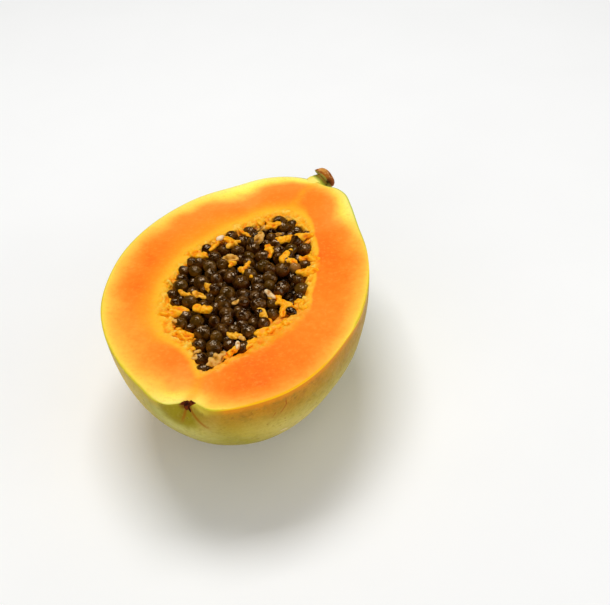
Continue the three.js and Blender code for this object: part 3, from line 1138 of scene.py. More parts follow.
    def walls(self, seeds: tuple[Array, Array], left: Array, right: Array) -> Array:
        """The hollow's wall from the left seeds' edge down and up to the right one.

        Args:
            seeds: Left and right edge of the seeds (count, 2).
            left: Height of the lining's left edge (count,).
            right: Height of its right edge (count,).

        Returns:
            Points (count, columns, 3).
        """
        depth = self.form.hollow_depth(self.form.shares(self.stations))
        middle, reach = (seeds[0] + seeds[1]) / 2, (seeds[1] - seeds[0]) / 2
        span = np.maximum(np.linalg.norm(reach, axis=1), 1e-9)
        angles = np.radians([*self.wall_angles, 90, *self.wall_angles[::-1]])
        side = np.array([-1] * len(self.wall_angles) + [0] + [1] * len(self.wall_angles))
        columns = []
        for angle, sign in zip(angles, side):
            edge = {-1: left, 0: (left + right) / 2, 1: right}[int(sign)]
            drop = np.maximum(depth - self.form.floor_lift, 0) * math.sin(angle)
            bowl = depth / self.form.hollow_ratio / span * math.cos(angle)
            share = np.minimum(1 - self.wall_lean * np.minimum(drop, 10), bowl)
            flat = middle + reach * (sign * share)[:, None]
            columns.append(np.concatenate([flat, (edge - drop)[:, None]], axis=1))
        return np.stack(columns, axis=1)

    def skin_rows(self, shares: Array) -> tuple[Array, dict[str, Array]]:
        """The skin from the right rim round underneath to the left rim.

        Args:
            shares: Shares of the way along the fruit.

        Returns:
            Points (count, columns, 3) and named values.
        """
        even = np.linspace(0, np.pi, self.skin_sides + 1)
        close = (self.rim_loop, 2.2 * self.rim_loop)
        angles = np.array([0, *close, *even[1:-1], np.pi - close[1], np.pi - close[0], np.pi])
        points, outward = self.form.skin(shares, angles)
        span = np.linalg.norm(self.form.right_rim.at(shares) - self.form.left_rim.at(shares), axis=1)
        calm = ease(span, 0, 40)[:, None] * ease(np.sin(angles), 0, 0.12)[None]
        (rise, broad), (dimple, fine) = self.skin_swell, self.skin_dimples
        swell = rise * waves(points, broad, 2, 5.0) + dimple * waves(points, fine, 2, 9.0)
        points = points + outward * (swell * calm)[..., None]
        points[..., 2] = points[..., 2].clip(-self.rest_height)
        points[:, [0, -1], 2] -= self.rim_drop
        below = np.minimum(angles, np.pi - angles)[None] * span[:, None] / 2
        scar = np.linalg.norm(points - np.array([*self.form.scar_at, 0]), axis=2)
        flat = points.reshape(-1, 3)
        lines = [np.array(line, float) for line in self.creases]
        near = [segment_distance(flat, line)[0].reshape(scar.shape) for line in lines]
        ends = [np.linalg.norm(points - line[-1], axis=2) for line in lines]
        crease, valley = (
            sum(
                np.exp(-((gap / width) ** 2)) * ease(end, 0.3, fade)
                for gap, end in zip(near, ends)
            )
            for width, fade in ((self.crease_width, 5), (self.valley_width, 7))
        )
        points = points - outward * (self.crease_depth * valley)[..., None]
        down = np.degrees(angles)[None]
        x, y = points[..., 0], points[..., 1]
        front = down < 90
        # Each tint fades between two places: millimetres along x or y, from the scar or below
        # the rim, or degrees down from the right rim.
        values = {
            "rim": below,
            "pale": ease(x, -2, -32) * ease(down, 100, 140),
            "green": np.clip(
                ease(scar, 34, 12) * ease(down, 62, 84) * ease(down, 172, 150)
                + 0.8 * ease(y, -20, 60),
                0,
                1,
            ),
            # shade: painted shade under the left rim by the blossom scar, and the scar's own brown
            # close round it.
            "shade": 0.6 * ease(scar, 14, 8) * ease(down, 52, 80) * ease(down, 181, 179)
            + 0.4 * ease(scar, 4.6, 2.6) * ease(down, 20, 60),
            # Painted sheen on the right side, and painted light below the blossom scar where the skin
            # faces down.
            "bloom": 0.7 * ease(x, 24, 46) * ease(down, 10, 44) * front
            + 0.3 * ease(scar, 7, 14) * ease(scar, 30, 19) * ease(abs(x - 7), 16, 5),
            "warm": ease(x, 9, 17) * np.exp(-((below / 15) ** 2)) * front,
            # lip: painted highlight on the rim and the furrow's lips right of the blossom scar, over
            # the skin's own yellow-green.
            "lip": ease(scar, 11, 5) * ease(down, 38, 12)
            + 0.9 * ease(scar, 24, 10) * ease(down, 5, 2) * ease(scar, 4, 11),
            "blush": self.blush.at(points) * np.exp(-((below / 9) ** 2)) * front,
            # crease: painted shade along the creases' valleys, over the lines' own brown.
            "crease": np.clip(crease, 0, 1),
        }
        return points, values

    def build(self) -> bpy.types.Object:
        """The finished piece."""
        rows, values, first_skin = self.rows()
        faces = grid_faces(len(rows), rows.shape[1], closed=True)
        column = np.tile(np.arange(rows.shape[1]), len(rows) - 1)
        finishes = (column >= first_skin).astype(int)
        mesh = mesh_of("papaya_flesh", self.place.metres(rows), faces, values, finishes)
        materials = [RipeFlesh().material(), WaxySkin().material(self.place)]
        return add_piece("papaya_flesh", mesh, materials, "papaya_half")


# ---- seeds ----


@dataclass(frozen=True)
class SeedBed:
    """Pulp that fills the hollow under the seeds, high and golden by the wall."""

    form: FruitForm
    place: Placement
    stations: int = 130
    sides: int = 48
    edge_top: float = -2.4
    middle_top: float = -6.6
    slope: float = 7.0
    gap: float = 0.3
    edge_drop: float = 2.6
    reach: float = 0.99
    relief: float = 1.1
    thinnest: float = 0.2

    def build(self) -> bpy.types.Object:
        """The finished piece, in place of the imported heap."""
        shares = self.form.shares(self.stations)
        left, right = self.form.left_seeds.at(shares), self.form.right_seeds.at(shares)
        middle, reach = (left + right) / 2, (right - left) / 2
        depth = self.form.hollow_depth(shares)[:, None]
        across = -np.cos(np.linspace(0, np.pi, self.sides + 1))[None] * self.reach
        flat = middle[:, None] + reach[:, None] * across[..., None]
        deepest = np.maximum(depth - self.form.floor_lift, 0)
        floor = -(deepest * np.sqrt(1 - across**2)) - self.edge_drop + self.gap
        under = np.concatenate([flat, floor[..., None]], axis=2)
        away = ring_gap(flat, self.form.seed_ring())
        relief = self.relief * waves(under * np.array([1, 1, 0]), 4.0, 3)
        high = self.edge_top + (self.middle_top - self.edge_top) * ease(away, 0.5, self.slope)
        crown = np.maximum(high + relief, floor + self.thinnest)
        over = np.concatenate([flat, crown[..., None]], axis=2)
        rows = np.concatenate([over, under[:, ::-1]], axis=1)
        rows[[0, -1]] = rows[[0, -1]].mean(axis=1, keepdims=True)
        wall = np.concatenate([away, away[:, ::-1]], axis=1)
        faces = grid_faces(len(rows), rows.shape[1], closed=True)
        mesh = mesh_of("seed_bed", self.place.metres(rows), faces, {"wall": wall})
        return add_piece("seed_bed", mesh, [SeedBedPulp().material()], "seed_heap")


@dataclass(frozen=True)
class SeedSpot:
    """A seed that is known by its place: centre, radius, stretch and the way it points."""

    x: float
    y: float
    radius: float
    stretch: float = 1.08
    heading: float = 0.0
    lift: float = 0.0
    tone: float | None = None


LANDMARK_SEEDS = tuple(
    SeedSpot(*numbers)
    for numbers in (
        (1.6, 44.6, 2.7, 1.2, 20), (5.2, 40.8, 2.6), (7.6, 43.8, 2.2), (11.4, 38.6, 2.7),
        (16.4, 37.2, 1.8, 1.2, 0, 0.6), (-8.7, 34.9, 2.4, 1.3, 0), (-14.8, 29.7, 2.8),
        (-8.5, 26.4, 2.9), (-21.6, 18.4, 2.6), (-13.8, 18.8, 2.7), (-16.3, 13.6, 2.8),
        (-7.6, 18.6, 2.8), (-1.8, 21.7, 3.0), (2.9, 30.8, 2.4), (9.3, 22.0, 3.0),
        (18.7, 27.0, 2.9, 1.25, 10), (13.6, 25.6, 2.6), (-24.0, 8.8, 2.7), (-25.6, 2.4, 2.5),
        (-20.4, 2.8, 2.7), (-15.3, 6.4, 2.9), (-10.6, 8.8, 2.7), (3.8, 17.5, 3.0), (6.8, 11.0, 2.8),
        (14.8, 10.5, 3.2), (19.4, 13.8, 2.5, 1.1, 0, 0, 1.9), (22.9, 16.2, 2.5, 1.25, 0),
        (23.2, 6.2, 2.4), (26.4, 1.0, 2.9, 1.1, 0, 0, 1.3), (27.4, -4.6, 2.6), (18.9, -0.2, 2.8),
        (11.8, 4.0, 2.9), (-3.9, 1.0, 2.9), (1.6, -1.6, 3.3), (-14.6, -4.6, 3.3),
        (-22.6, -7.8, 2.9, 1.15, 10), (-6.0, -4.6, 2.0, 1.1, 0, -0.8), (-23.4, -14.0, 2.6),
        (-1.2, -9.6, 3.2), (5.4, -9.2, 3.0), (-14.5, -17.1, 3.2), (13.3, -13.4, 3.2),
        (18.6, -11.0, 2.6), (20.6, -17.0, 2.6), (27.9, -15.6, 1.95, 1.35, -15, 1.7, -0.5),
        (-12.8, -26.0, 2.9), (-6.9, -28.2, 2.8, 1.05, 0, 0, 0.9), (-2.0, -34.2, 3.4),
        (15.0, -29.4, 2.9), (3.2, -21.8, 2.9), (10.2, -21.6, 3.1), (-0.6, -41.0, 2.8),
        (5.6, -41.4, 3.2), (10.9, -38.6, 2.4), (16.4, -38.4, 2.4, 1.2, 70, 0, 0.1),
        (2.9, -48.6, 3.1, 1.05, 0, 0, 0.1), (9.6, -47.2, 2.2),
        (6.9, -54.6, 2.6, 1.35, 20, 0.4, 0.1),
    )
)  # fmt: skip


@dataclass(frozen=True)
class SeedHeap:
    """Seeds packed into the hollow: those with a known place, and two layers between them.

    Attributes:
        pitch: Millimetres between loose seeds at the start.
        radii: Smallest and largest loose seed.
        heights: Middle of each layer.
        margins: Each layer's distance from the hollow's edge.
        jitter: How far a loose seed starts off its lattice point.
        clearance: Share of the pitch that stays free round a known seed.
        unevenness: How far seeds start above or below their layer.
        dome: How much higher the heap is in the middle.
        dome_zone: Distances from the edge between which the dome rises.
        overlap: Share of two radii at which seeds touch.
        push: Share of an overlap that one step takes away.
        pull: Share of a seed's way back to its height in one step.
        wall_gaps: Share of a seed's radius that it keeps from the wall, top and lower layer.
        stretches: Least and most length of a loose seed, as a share of its radius.
        widths: The same of its width.
        thicknesses: Least and most thickness, as a share of the width.
        tones: Least and most tone, top and lower layer; the lower layer's low tones, which turn its
            seeds near black, are painted shade under the top seeds.
        faces_across: Faces along each side of the cube that a seed is made from.
        wrinkle_depth: Depth of a coat's wrinkles.
        wrinkle_size: Distance between them.
        noise_middle: Mean of the noise that draws them.
    """

    form: FruitForm
    place: Placement
    known: tuple[SeedSpot, ...] = LANDMARK_SEEDS
    pitch: float = 5.1
    radii: Pair = (2.2, 3.0)
    heights: Pair = (-2.0, -6.0)
    margins: Pair = (1.4, 4.0)
    jitter: float = 1.1
    clearance: float = 0.72
    unevenness: float = 1.5
    dome: float = 1.2
    dome_zone: Pair = (2, 16)
    overlap: float = 0.88
    rounds: int = 90
    push: float = 0.4
    pull: float = 0.25
    wall_gaps: Pair = (0.55, 1.1)
    stretches: Pair = (1.0, 1.2)
    widths: Pair = (0.94, 1.0)
    thicknesses: Pair = (0.9, 1.0)
    # The lower layer's low tones paint its seeds dark: painted shade under the top seeds.
    tones: tuple[Pair, Pair] = ((0.0, 1.0), (-0.8, 0.1))
    seed: int = 7
    faces_across: int = 4
    wrinkle_depth: float = 1.1
    wrinkle_size: float = 3.0
    noise_middle: float = 0.52

    def layer(self, rng: np.random.Generator, height: float, margin: float) -> Array:
        """Loose centres and radii (count, 4) on an uneven lattice inside the hollow."""
        ring = self.form.seed_ring()
        low, high = ring.min(0), ring.max(0)
        row_pitch = self.pitch * math.sin(math.pi / 3)
        spots = []
        for row, y in enumerate(np.arange(low[1], high[1], row_pitch)):
            for x in np.arange(low[0] + self.pitch / 2 * (row % 2), high[0], self.pitch):
                spots.append((x, y))
        flat = np.array(spots) + rng.uniform(-self.jitter, self.jitter, (len(spots), 2))
        flat = flat[inside(flat, ring) & (ring_gap(flat, ring) > margin)]
        lift = height + rng.uniform(-self.unevenness, 0.6 * self.unevenness, len(flat))
        radius = rng.uniform(*self.radii, len(flat))
        return np.column_stack([flat, lift, radius])

    def pack(self) -> tuple[Array, Array, Array]:
        """Pushes the seeds apart until they lie side by side.

        Returns:
            Centres (count, 3), radii (count,) and the layer of each seed (count,).
        """
        rng = np.random.default_rng(self.seed)
        ring = self.form.seed_ring()
        fixed = np.array([(s.x, s.y, self.heights[0] + s.lift, s.radius) for s in self.known])
        upper = self.layer(rng, self.heights[0], self.margins[0])
        crowd = np.linalg.norm(upper[:, None, :2] - fixed[None, :, :2], axis=2).min(1)
        upper = upper[crowd > self.clearance * self.pitch]
        lower = self.layer(rng, self.heights[1], self.margins[1])
        spots = np.vstack([fixed, upper, lower])
        layers = np.repeat([0, 0, 1], [len(fixed), len(upper), len(lower)])
        centres, radii = spots[:, :3].copy(), spots[:, 3]
        goal = spots[:, 2] + self.dome * ease(ring_gap(centres, ring), *self.dome_zone)
        centres[:, 2] = goal
        loose = np.arange(len(centres)) >= len(fixed)
        for _ in range(self.rounds):
            gap = centres[:, None] - centres[None]
            distance = np.linalg.norm(gap, axis=2) + np.eye(len(centres)) * 1e3
            room = (radii[:, None] + radii[None]) * self.overlap
            push = np.clip(room - distance, 0, None) / distance
            centres += self.push * (gap * push[..., None]).sum(1) * loose[:, None]
            centres[:, 2] += self.pull * (goal - centres[:, 2])
            away, nearest = ring_distance(centres[:, :2], ring)
            held = inside(centres[:, :2], ring)
            need = np.where(layers == 0, *self.wall_gaps) * radii
            short = np.where(held, need - away, need + away)
            inward = (centres[:, :2] - nearest) / np.maximum(away, 1e-6)[:, None]
            inward *= np.where(held, 1, -1)[:, None]
            move = np.clip(short, 0, 2) * loose
            centres[:, :2] += inward * move[:, None]
        return centres, radii, layers

    def carrier(self) -> bpy.types.Object:
        """A mesh of one point for each seed, with its turn, size and tone."""
        centres, radii, layers = self.pack()
        rng = np.random.default_rng(self.seed + 1)
        count = len(centres)
        turn = rng.uniform(0, 2 * math.pi, (count, 3))
        stretch = rng.uniform(*self.stretches, count)
        tone = np.where(layers == 0, *(rng.uniform(*span, count) for span in self.tones))
        for row, spot in enumerate(self.known):
            turn[row] = (0.2 * math.sin(row), 0.15 * math.cos(row), math.radians(spot.heading))
            stretch[row] = spot.stretch
            tone[row] = tone[row] if spot.tone is None else spot.tone
        width = radii * rng.uniform(*self.widths, count)
        thickness = width * rng.uniform(*self.thicknesses, count)
        size = np.column_stack([radii * stretch, width, thickness])
        mesh = bpy.data.meshes.new("seed_places")
        mesh.from_pydata(self.place.metres(centres).tolist(), [], [])
        for name, kind, key, numbers in (
            ("turn", "FLOAT_VECTOR", "vector", turn),
            ("size", "FLOAT_VECTOR", "vector", size * MM),
            ("tone", "FLOAT", "value", tone),
        ):
            layer = mesh.attributes.new(name, kind, "POINT")
            layer.data.foreach_set(key, numbers.astype(np.float32).ravel())
        LOG.info("seeds packed: %d, of which %d on top", count, int((layers == 0).sum()))
        places = bpy.data.objects.new("seed_places", mesh)
        bpy.context.scene.collection.objects.link(places)
        return places

    def tree(self) -> tuple[bpy.types.NodeTree, dict[str, str]]:
        """Geometry nodes that put a wrinkled seed on every point.

        Returns:
            The tree and the identifier of each named input.
        """
        tree = bpy.data.node_groups.new("wrinkled_seeds", "GeometryNodeTree")
        node = partial(add_node, tree)
        sockets = tree.interface
        sockets.new_socket("Points", in_out="INPUT", socket_type="NodeSocketGeometry")
        keys = {}
        for name, kind in (
            ("Faces Across", "Int"),
            ("Wrinkle Depth", "Float"),
            ("Wrinkle Size", "Float"),
            ("Material", "Material"),
        ):
            made = sockets.new_socket(name, in_out="INPUT", socket_type=f"NodeSocket{kind}")
            keys[name] = made.identifier
        sockets.new_socket("Seeds", in_out="OUTPUT", socket_type="NodeSocketGeometry")
        given = node("NodeGroupInput").outputs
        corners = node("ShaderNodeMath", {0: given["Faces Across"], 1: 1.0}, operation="ADD")
        counts = {f"Vertices {axis}": corners for axis in "XYZ"}
        cube = node("GeometryNodeMeshCube", {"Size": (1, 1, 1), **counts})
        place = node("GeometryNodeInputPosition")
        round_off = node("ShaderNodeVectorMath", {0: place}, operation="NORMALIZE")
        seed = node("GeometryNodeSetPosition", {"Geometry": cube, "Position": round_off})
        reader = partial(node, "GeometryNodeInputNamedAttribute", data_type="FLOAT_VECTOR")
        read = {key: reader({"Name": key}).outputs["Attribute"] for key in ("turn", "size")}
        turn = node("FunctionNodeEulerToRotation", {"Euler": read["turn"]})
        spread = node(
            "GeometryNodeInstanceOnPoints",
            {"Points": given["Points"], "Instance": seed, "Rotation": turn, "Scale": read["size"]},
        )
        real = node("GeometryNodeRealizeInstances", {"Geometry": spread})
        pattern = node("ShaderNodeMath", {0: 1.0, 1: given["Wrinkle Size"]}, operation="DIVIDE")
        texture = {"Scale": pattern, "Detail": 1.5, "Distortion": 0.6}
        creases = node("ShaderNodeTexNoise", texture)
        centred = node("ShaderNodeMath", {0: creases, 1: self.noise_middle}, operation="SUBTRACT")
        depth = given["Wrinkle Depth"]
        height = node("ShaderNodeMath", {0: centred, 1: depth}, operation="MULTIPLY")
        out = node("GeometryNodeInputNormal")
        offset = node("ShaderNodeVectorMath", {0: out, "Scale": height}, operation="SCALE")
        wrinkled = node("GeometryNodeSetPosition", {"Geometry": real, "Offset": offset})
        # How far each point faces down, stored for the coat's painted amber light on the seeds' lower
        # sides.
        facing = node("ShaderNodeSeparateXYZ", {0: out}).outputs["Z"]
        under = node("ShaderNodeMapRange", {"Value": facing, "From Min": 0.8, "From Max": -0.6})
        marked = node(
            "GeometryNodeStoreNamedAttribute",
            {"Geometry": wrinkled, "Name": "under", "Value": under},
            data_type="FLOAT",
            domain="POINT",
        )
        smooth = node("GeometryNodeSetShadeSmooth", {"Geometry": marked})
        coat = given["Material"]
        dressed = node("GeometryNodeSetMaterial", {"Geometry": smooth, "Material": coat})
        node("NodeGroupOutput", {0: dressed})
        return tree, keys

    def build(self) -> bpy.types.Object:
        """The finished piece: every seed in one mesh."""
        places = self.carrier()
        tree, keys = self.tree()
        modifier = places.modifiers.new("seeds", "NODES")
        modifier.node_group = tree
        modifier[keys["Faces Across"]] = self.faces_across
        modifier[keys["Wrinkle Depth"]] = self.wrinkle_depth * MM
        modifier[keys["Wrinkle Size"]] = self.wrinkle_size * MM
        modifier[keys["Material"]] = WetSeedCoat().material()
        depsgraph = bpy.context.evaluated_depsgraph_get()
        mesh = bpy.data.meshes.new_from_object(
            places.evaluated_get(depsgraph), preserve_all_data_layers=True, depsgraph=depsgraph
        )
        mesh.name = "papaya_seeds"
        bpy.data.objects.remove(places)
        return add_piece("papaya_seeds", mesh)


# ---- pulp ----


@dataclass(frozen=True)
class Lump:
    """A torn, knobbly bit of soft matter between two points.

    Attributes:
        start: Its thick end.
        end: Its thin end.
        width: Size across.
        number: Picks its own bumps.
        flat: Height as a share of the width.
        point: How far it narrows to the thin end, from 0 to 1.
        ragged: How uneven it is.
        creased: Share of torn ridges in that, against round knobs.
        knob_sizes: Size of its knobs and of the crumbs on them.
        ridge_sizes: Size of its ridges and of the grit on them.
        bend: How strongly it curves sideways.
        roll: Most radians that it turns about its length.
        widest: Width that its raggedness grows with, at most.
    """

    start: Triple
    end: Triple
    width: float
    number: int
    flat: float = 0.75
    point: float = 0.35
    ragged: float = 0.42
    creased: float = 0.0
    knob_sizes: Pair = (3.0, 1.4)
    ridge_sizes: Pair = (3.4, 1.2)
    bend: float = 0.12
    roll: float = 0.35
    widest: float = 3.4

    def shape(self, detail: int) -> tuple[Array, Array, Array]:
        """Points in millimetres, triangles, and how far each point stands out, 0 to 1."""
        points, faces = ball(detail)
        along = Vector(self.end) - Vector(self.start)
        reach = along.length + 0.7 * self.width
        taper = 1 - self.point * (0.5 + 0.5 * points[:, :1])
        size = np.array([reach, self.width, self.width * self.flat]) / 2
        body = points * np.hstack([np.ones_like(taper), taper, taper]) * size
        shift = 11.3 * self.number
        knob, crumb = (waves(body, size, 2, shift) for size in self.knob_sizes)
        ridge, grit = (waves(body, size, 2, shift) for size in self.ridge_sizes)
        knobs = knob + 0.45 * crumb
        ridges = 0.5 - 1.7 * np.abs(ridge) + 0.3 * grit
        crest = (1 - self.creased) * knobs + self.creased * ridges
        depth = 0.85 * self.ragged * min(self.width, self.widest)
        points = body + points * (depth * crest)[:, None]
        points[:, 1] += self.bend * math.sin(2.3 * self.number) * points[:, 0] ** 2 / reach
        roll = Euler((self.roll * math.sin(3.1 * self.number), 0, 0)).to_matrix()
        turn = along.to_track_quat("X", "Z").to_matrix() @ roll
        middle = (np.array(self.start) + np.array(self.end)) / 2
        # Higher points get a larger crest value, so the pulp is paler on top: painted light.
        high = points[:, 2] / self.width
        return points @ np.array(turn).T + middle, faces, np.clip(0.5 + crest + 0.3 * high, 0, 1)


def lumps_mesh(
    name: str, place: Placement, lumps: Sequence[Lump], detail: int
) -> bpy.types.Mesh:
    """One mesh of many lumps, with how far each point stands out as the value "crest"."""
    points, faces, crests, start = [], [], [], 0
    for lump in lumps:
        own, triangles, crest = lump.shape(detail)
        points.append(own)
        faces.append(triangles + start)
        crests.append(crest)
        start += len(own)
    metres = place.metres(np.vstack(points))
    values = {"crest": np.concatenate(crests)}
    return mesh_of(name, metres, np.vstack(faces), values, weld=0.0001)


@dataclass(frozen=True)
class Scrap:
    """A bit of pulp with a known place, from a thick end to a thin end in the cut plane."""

    kind: PulpKind
    start: Pair
    end: Pair
    width: float
    z: float = 0.3
    point: float = 0.35
    ragged: float = 0.42


SCRAPS = tuple(
    Scrap(PulpKind[kind], (x, y), (end_x, end_y), *shape)
    for kind, x, y, end_x, end_y, *shape in (
        ("ORANGE", -0.5, 36.2, 2.8, 39.8, 3.0), ("ORANGE", 7.0, 27.4, 11.6, 30.2, 3.2, 0.6),
        ("ORANGE", 10.6, 29.6, 14.8, 32.2, 3.2, 0.6), ("ORANGE", 13.8, 31.6, 19.4, 35.0, 3.0, 0.4),
        ("ORANGE", 4.6, 23.4, 7.0, 17.2, 3.6, 0.4),
        ("ORANGE", 13.6, 15.6, 14.2, 21.4, 4.2, 0.2, 0.6),
        ("ORANGE", 14.8, 16.4, 18.6, 15.0, 2.8, 0.1), ("ORANGE", 26.4, 19.4, 20.0, 18.6, 3.6, -0.2),
        ("ORANGE", 28.6, 11.2, 23.0, 9.6, 3.8, -0.2), ("ORANGE", -12.3, 32.4, -4.8, 28.2, 1.5, 0.1),
        ("ORANGE", -16.0, 25.8, -9.4, 21.2, 3.6, -0.6), ("ORANGE", -6.2, 7.2, -5.6, 11.6, 2.6, 0.6),
        ("ORANGE", 1.2, 4.4, 0.8, 9.8, 3.4, 1.0, 0.75),
        ("ORANGE", -0.6, 5.2, 4.6, 1.8, 2.8, 0.8, 0.6),
        ("ORANGE", -24.2, 11.4, -19.0, 12.6, 3.6, -0.3),
        ("ORANGE", -27.6, 11.0, -23.6, 13.8, 3.4, -0.5),
        ("GOLDEN", -10.6, -8.6, -6.0, -9.8, 3.6, 0.5),
        ("GOLDEN", -13.6, -13.4, -9.4, -15.2, 2.6, 0.2),
        ("GOLDEN", -20.0, -13.4, -13.4, -16.0, 2.6, 0.0),
        ("ORANGE", -9.0, -23.0, -6.2, -23.5, 2.8, 1.0, 0.1),
        ("ORANGE", -6.2, -23.4, -3.6, -22.9, 3.2, 1.0, 0.1),
        ("GOLDEN", 15.8, -18.0, 19.4, -21.8, 2.6, 0.2),
        ("ORANGE", -13.6, -24.6, -21.4, -28.4, 4.4, -0.2),
        ("TAN", -15.0, -32.6, -12.4, -31.4, 1.8, 0.2),
        ("ORANGE", -10.6, -39.2, -7.8, -38.0, 3.6, 0.1),
        ("ORANGE", -7.8, -40.6, -5.0, -39.2, 3.6, 0.0),
        ("GOLDEN", 9.6, -35.2, 12.8, -37.0, 2.2, 0.9),
        ("GOLDEN", 12.2, -34.8, 14.8, -36.0, 2.0, 1.0), ("TAN", 14.4, -36.0, 16.8, -37.2, 1.8, 0.8),
        ("CREAM", 14.9, -39.6, 16.2, -43.0, 2.1, 1.2, 0.2, 0.1),
        ("ORANGE", 12.6, -46.2, 14.6, -42.0, 3.6, 0.0),
        ("TAN", 9.0, -52.6, 11.4, -46.8, 3.6, 0.4, 0.2), ("TAN", 1.2, -50.2, 1.2, -46.6, 2.6, -0.4),
        ("CREAM", -17.8, 22.4, -16.6, 24.8, 2.5, 0.9, 0.1, 0.15),
        ("CREAM", 14.8, -7.2, 19.0, -10.2, 2.7, 1.2, 0.3, 0.12),
        ("ORANGE", 17.6, -8.6, 23.4, -11.8, 4.0, -0.1),
        ("ORANGE", 22.4, -11.6, 26.4, -12.6, 3.4, -0.3),
        ("ORANGE", 28.8, -8.8, 33.0, -13.6, 3.0, -0.5),
        ("ORANGE", 27.2, -21.8, 31.0, -22.4, 3.4, -1.3, 0.35, 0.25),
        ("ORANGE", 19.4, -30.0, 23.0, -26.0, 4.2, -2.0, 0.35, 0.2),
        ("ORANGE", 22.6, -27.2, 25.6, -23.0, 4.2, -1.9, 0.35, 0.2),
        ("ORANGE", 18.0, -38.2, 20.0, -33.6, 3.8, -1.6, 0.35, 0.2),
        ("TAN", -1.4, 25.6, -2.2, 32.4, 3.8, 0.3), ("TAN", -3.6, 34.4, -0.4, 37.6, 2.2, 0.0),
        ("TAN", 2.2, 31.0, 6.2, 33.4, 2.4, 0.0), ("TAN", -9.2, 10.4, -6.0, 11.0, 3.8, 0.8, 0.2),
        ("TAN", 4.6, -17.2, 6.8, -15.0, 1.7, 1.2),
        ("ORANGE", 24.2, -13.2, 25.0, -18.4, 2.9, -0.1, 0.4, 0.3),
        ("ORANGE", -18.4, 16.2, -17.4, 22.4, 2.6, 0.6, 0.4, 0.35),
        ("GOLDEN", -11.8, 19.0, -8.6, 23.2, 2.4, 0.9, 0.4, 0.35),
    )
)  # fmt: skip


@dataclass(frozen=True)
class Pulp:
    """Loose pulp and unripe seeds, one piece for each kind, and shreds all round the wall.

    Attributes:
        seeds: Seeds with a known place, which the shreds leave free.
        shreds: Places for shreds round the wall.
        grown: Width of loose pulp against the scraps' own.
        creased: Share of torn ridges in its surface.
        spread: How far a shred starts off its even place, as a share of their distance.
        lean: Most radians that a shred leans to either side.
        reaches: Least and most reach between the seeds.
        roots: Least and most length that stays in the wall.
        widths: Least and most width.
        heights: Lowest and highest root.
        points: Least and most narrowing.
        sag: Most that the tip hangs under the root.
        smooth_corner: Right of this x and under this y the wall is smooth and shreds are few.
        smooth_drop: How much lower they lie there.
    """

    form: FruitForm
    place: Placement
    scraps: tuple[Scrap, ...] = SCRAPS
    seeds: tuple[SeedSpot, ...] = LANDMARK_SEEDS
    detail: int = 4
    shred_detail: int = 3
    shreds: int = 110
    grown: float = 1.18
    creased: float = 0.85
    seed: int = 5
    spread: float = 0.4
    lean: float = 1.0
    reaches: Pair = (1.0, 4.2)
    roots: Pair = (0.2, 1.8)
    widths: Pair = (2.4, 4.6)
    heights: Pair = (-1.5, -0.7)
    points: Pair = (0.1, 0.7)
    sag: float = 1.2
    smooth_corner: Pair = (9, -14)
    smooth_drop: float = 1.2

    def wall_shreds(self) -> list[Lump]:
        """Shreds of the wall that reach in between the outer seeds."""
        rng = np.random.default_rng(self.seed)
        ring = self.form.seed_ring()
        step = np.linalg.norm(np.diff(np.vstack([ring, ring[:1]]), axis=0), axis=1)
        length = np.concatenate([[0], np.cumsum(step)])
        shift = rng.uniform(-self.spread, self.spread, self.shreds)
        places = (np.arange(self.shreds) + shift) / self.shreds
        lumps = []
        for number, share in enumerate(places % 1):
            at = int(np.searchsorted(length, share * length[-1], "right")) - 1
            along = (ring[(at + 1) % len(ring)] - ring[at]) / step[at]
            inward = np.array([along[1], -along[0]])
            lean = rng.uniform(-self.lean, self.lean)
            heading = inward * math.cos(lean) + along * math.sin(lean)
            reach, out = rng.uniform(*self.reaches), rng.uniform(*self.roots)
            start = ring[at] - heading * out
            end = start + heading * (reach + 0.3 * out)
            width, high = rng.uniform(*self.widths), rng.uniform(*self.heights)
            point = rng.uniform(*self.points)
            middle = (start + end) / 2
            smooth = middle[0] > self.smooth_corner[0] and middle[1] < self.smooth_corner[1]
            high -= self.smooth_drop * smooth
            if any(math.dist(middle, (s.x, s.y)) < s.radius + 0.3 * width for s in self.seeds):
                continue
            low = high - rng.uniform(0.0, self.sag)
            if smooth and number % 3:
                continue
            start, end = (*start, high), (*end, low)
            lumps.append(Lump(start, end, width, number, 0.42, point, 0.4, self.creased))
        return lumps

    def build(self) -> list[bpy.types.Object]:
        """The finished pieces."""
        shreds = lumps_mesh("torn_wall", self.place, self.wall_shreds(), self.shred_detail)
        ripe = PulpFlesh(PulpKind.ORANGE).material()
        made = [add_piece("torn_wall", shreds, [ripe])]
        for kind in PulpKind:
            seed = kind is PulpKind.CREAM
            grown, flat, creased = (1.0, 0.9, 0.0) if seed else (self.grown, 0.7, self.creased)
            lumps = [
                Lump(
                    (*scrap.start, scrap.z),
                    (*scrap.end, scrap.z),
                    scrap.width * grown,
                    number,
                    flat,
                    scrap.point,
                    scrap.ragged,
                    creased,
                )
                for number, scrap in enumerate(self.scraps)
                if scrap.kind is kind
            ]
            mesh = lumps_mesh(kind.value, self.place, lumps, self.detail)
            material = ripe if kind is PulpKind.ORANGE else PulpFlesh(kind).material()
            made.append(add_piece(kind.value, mesh, [material]))
        return made


# ---- stem and scar ----


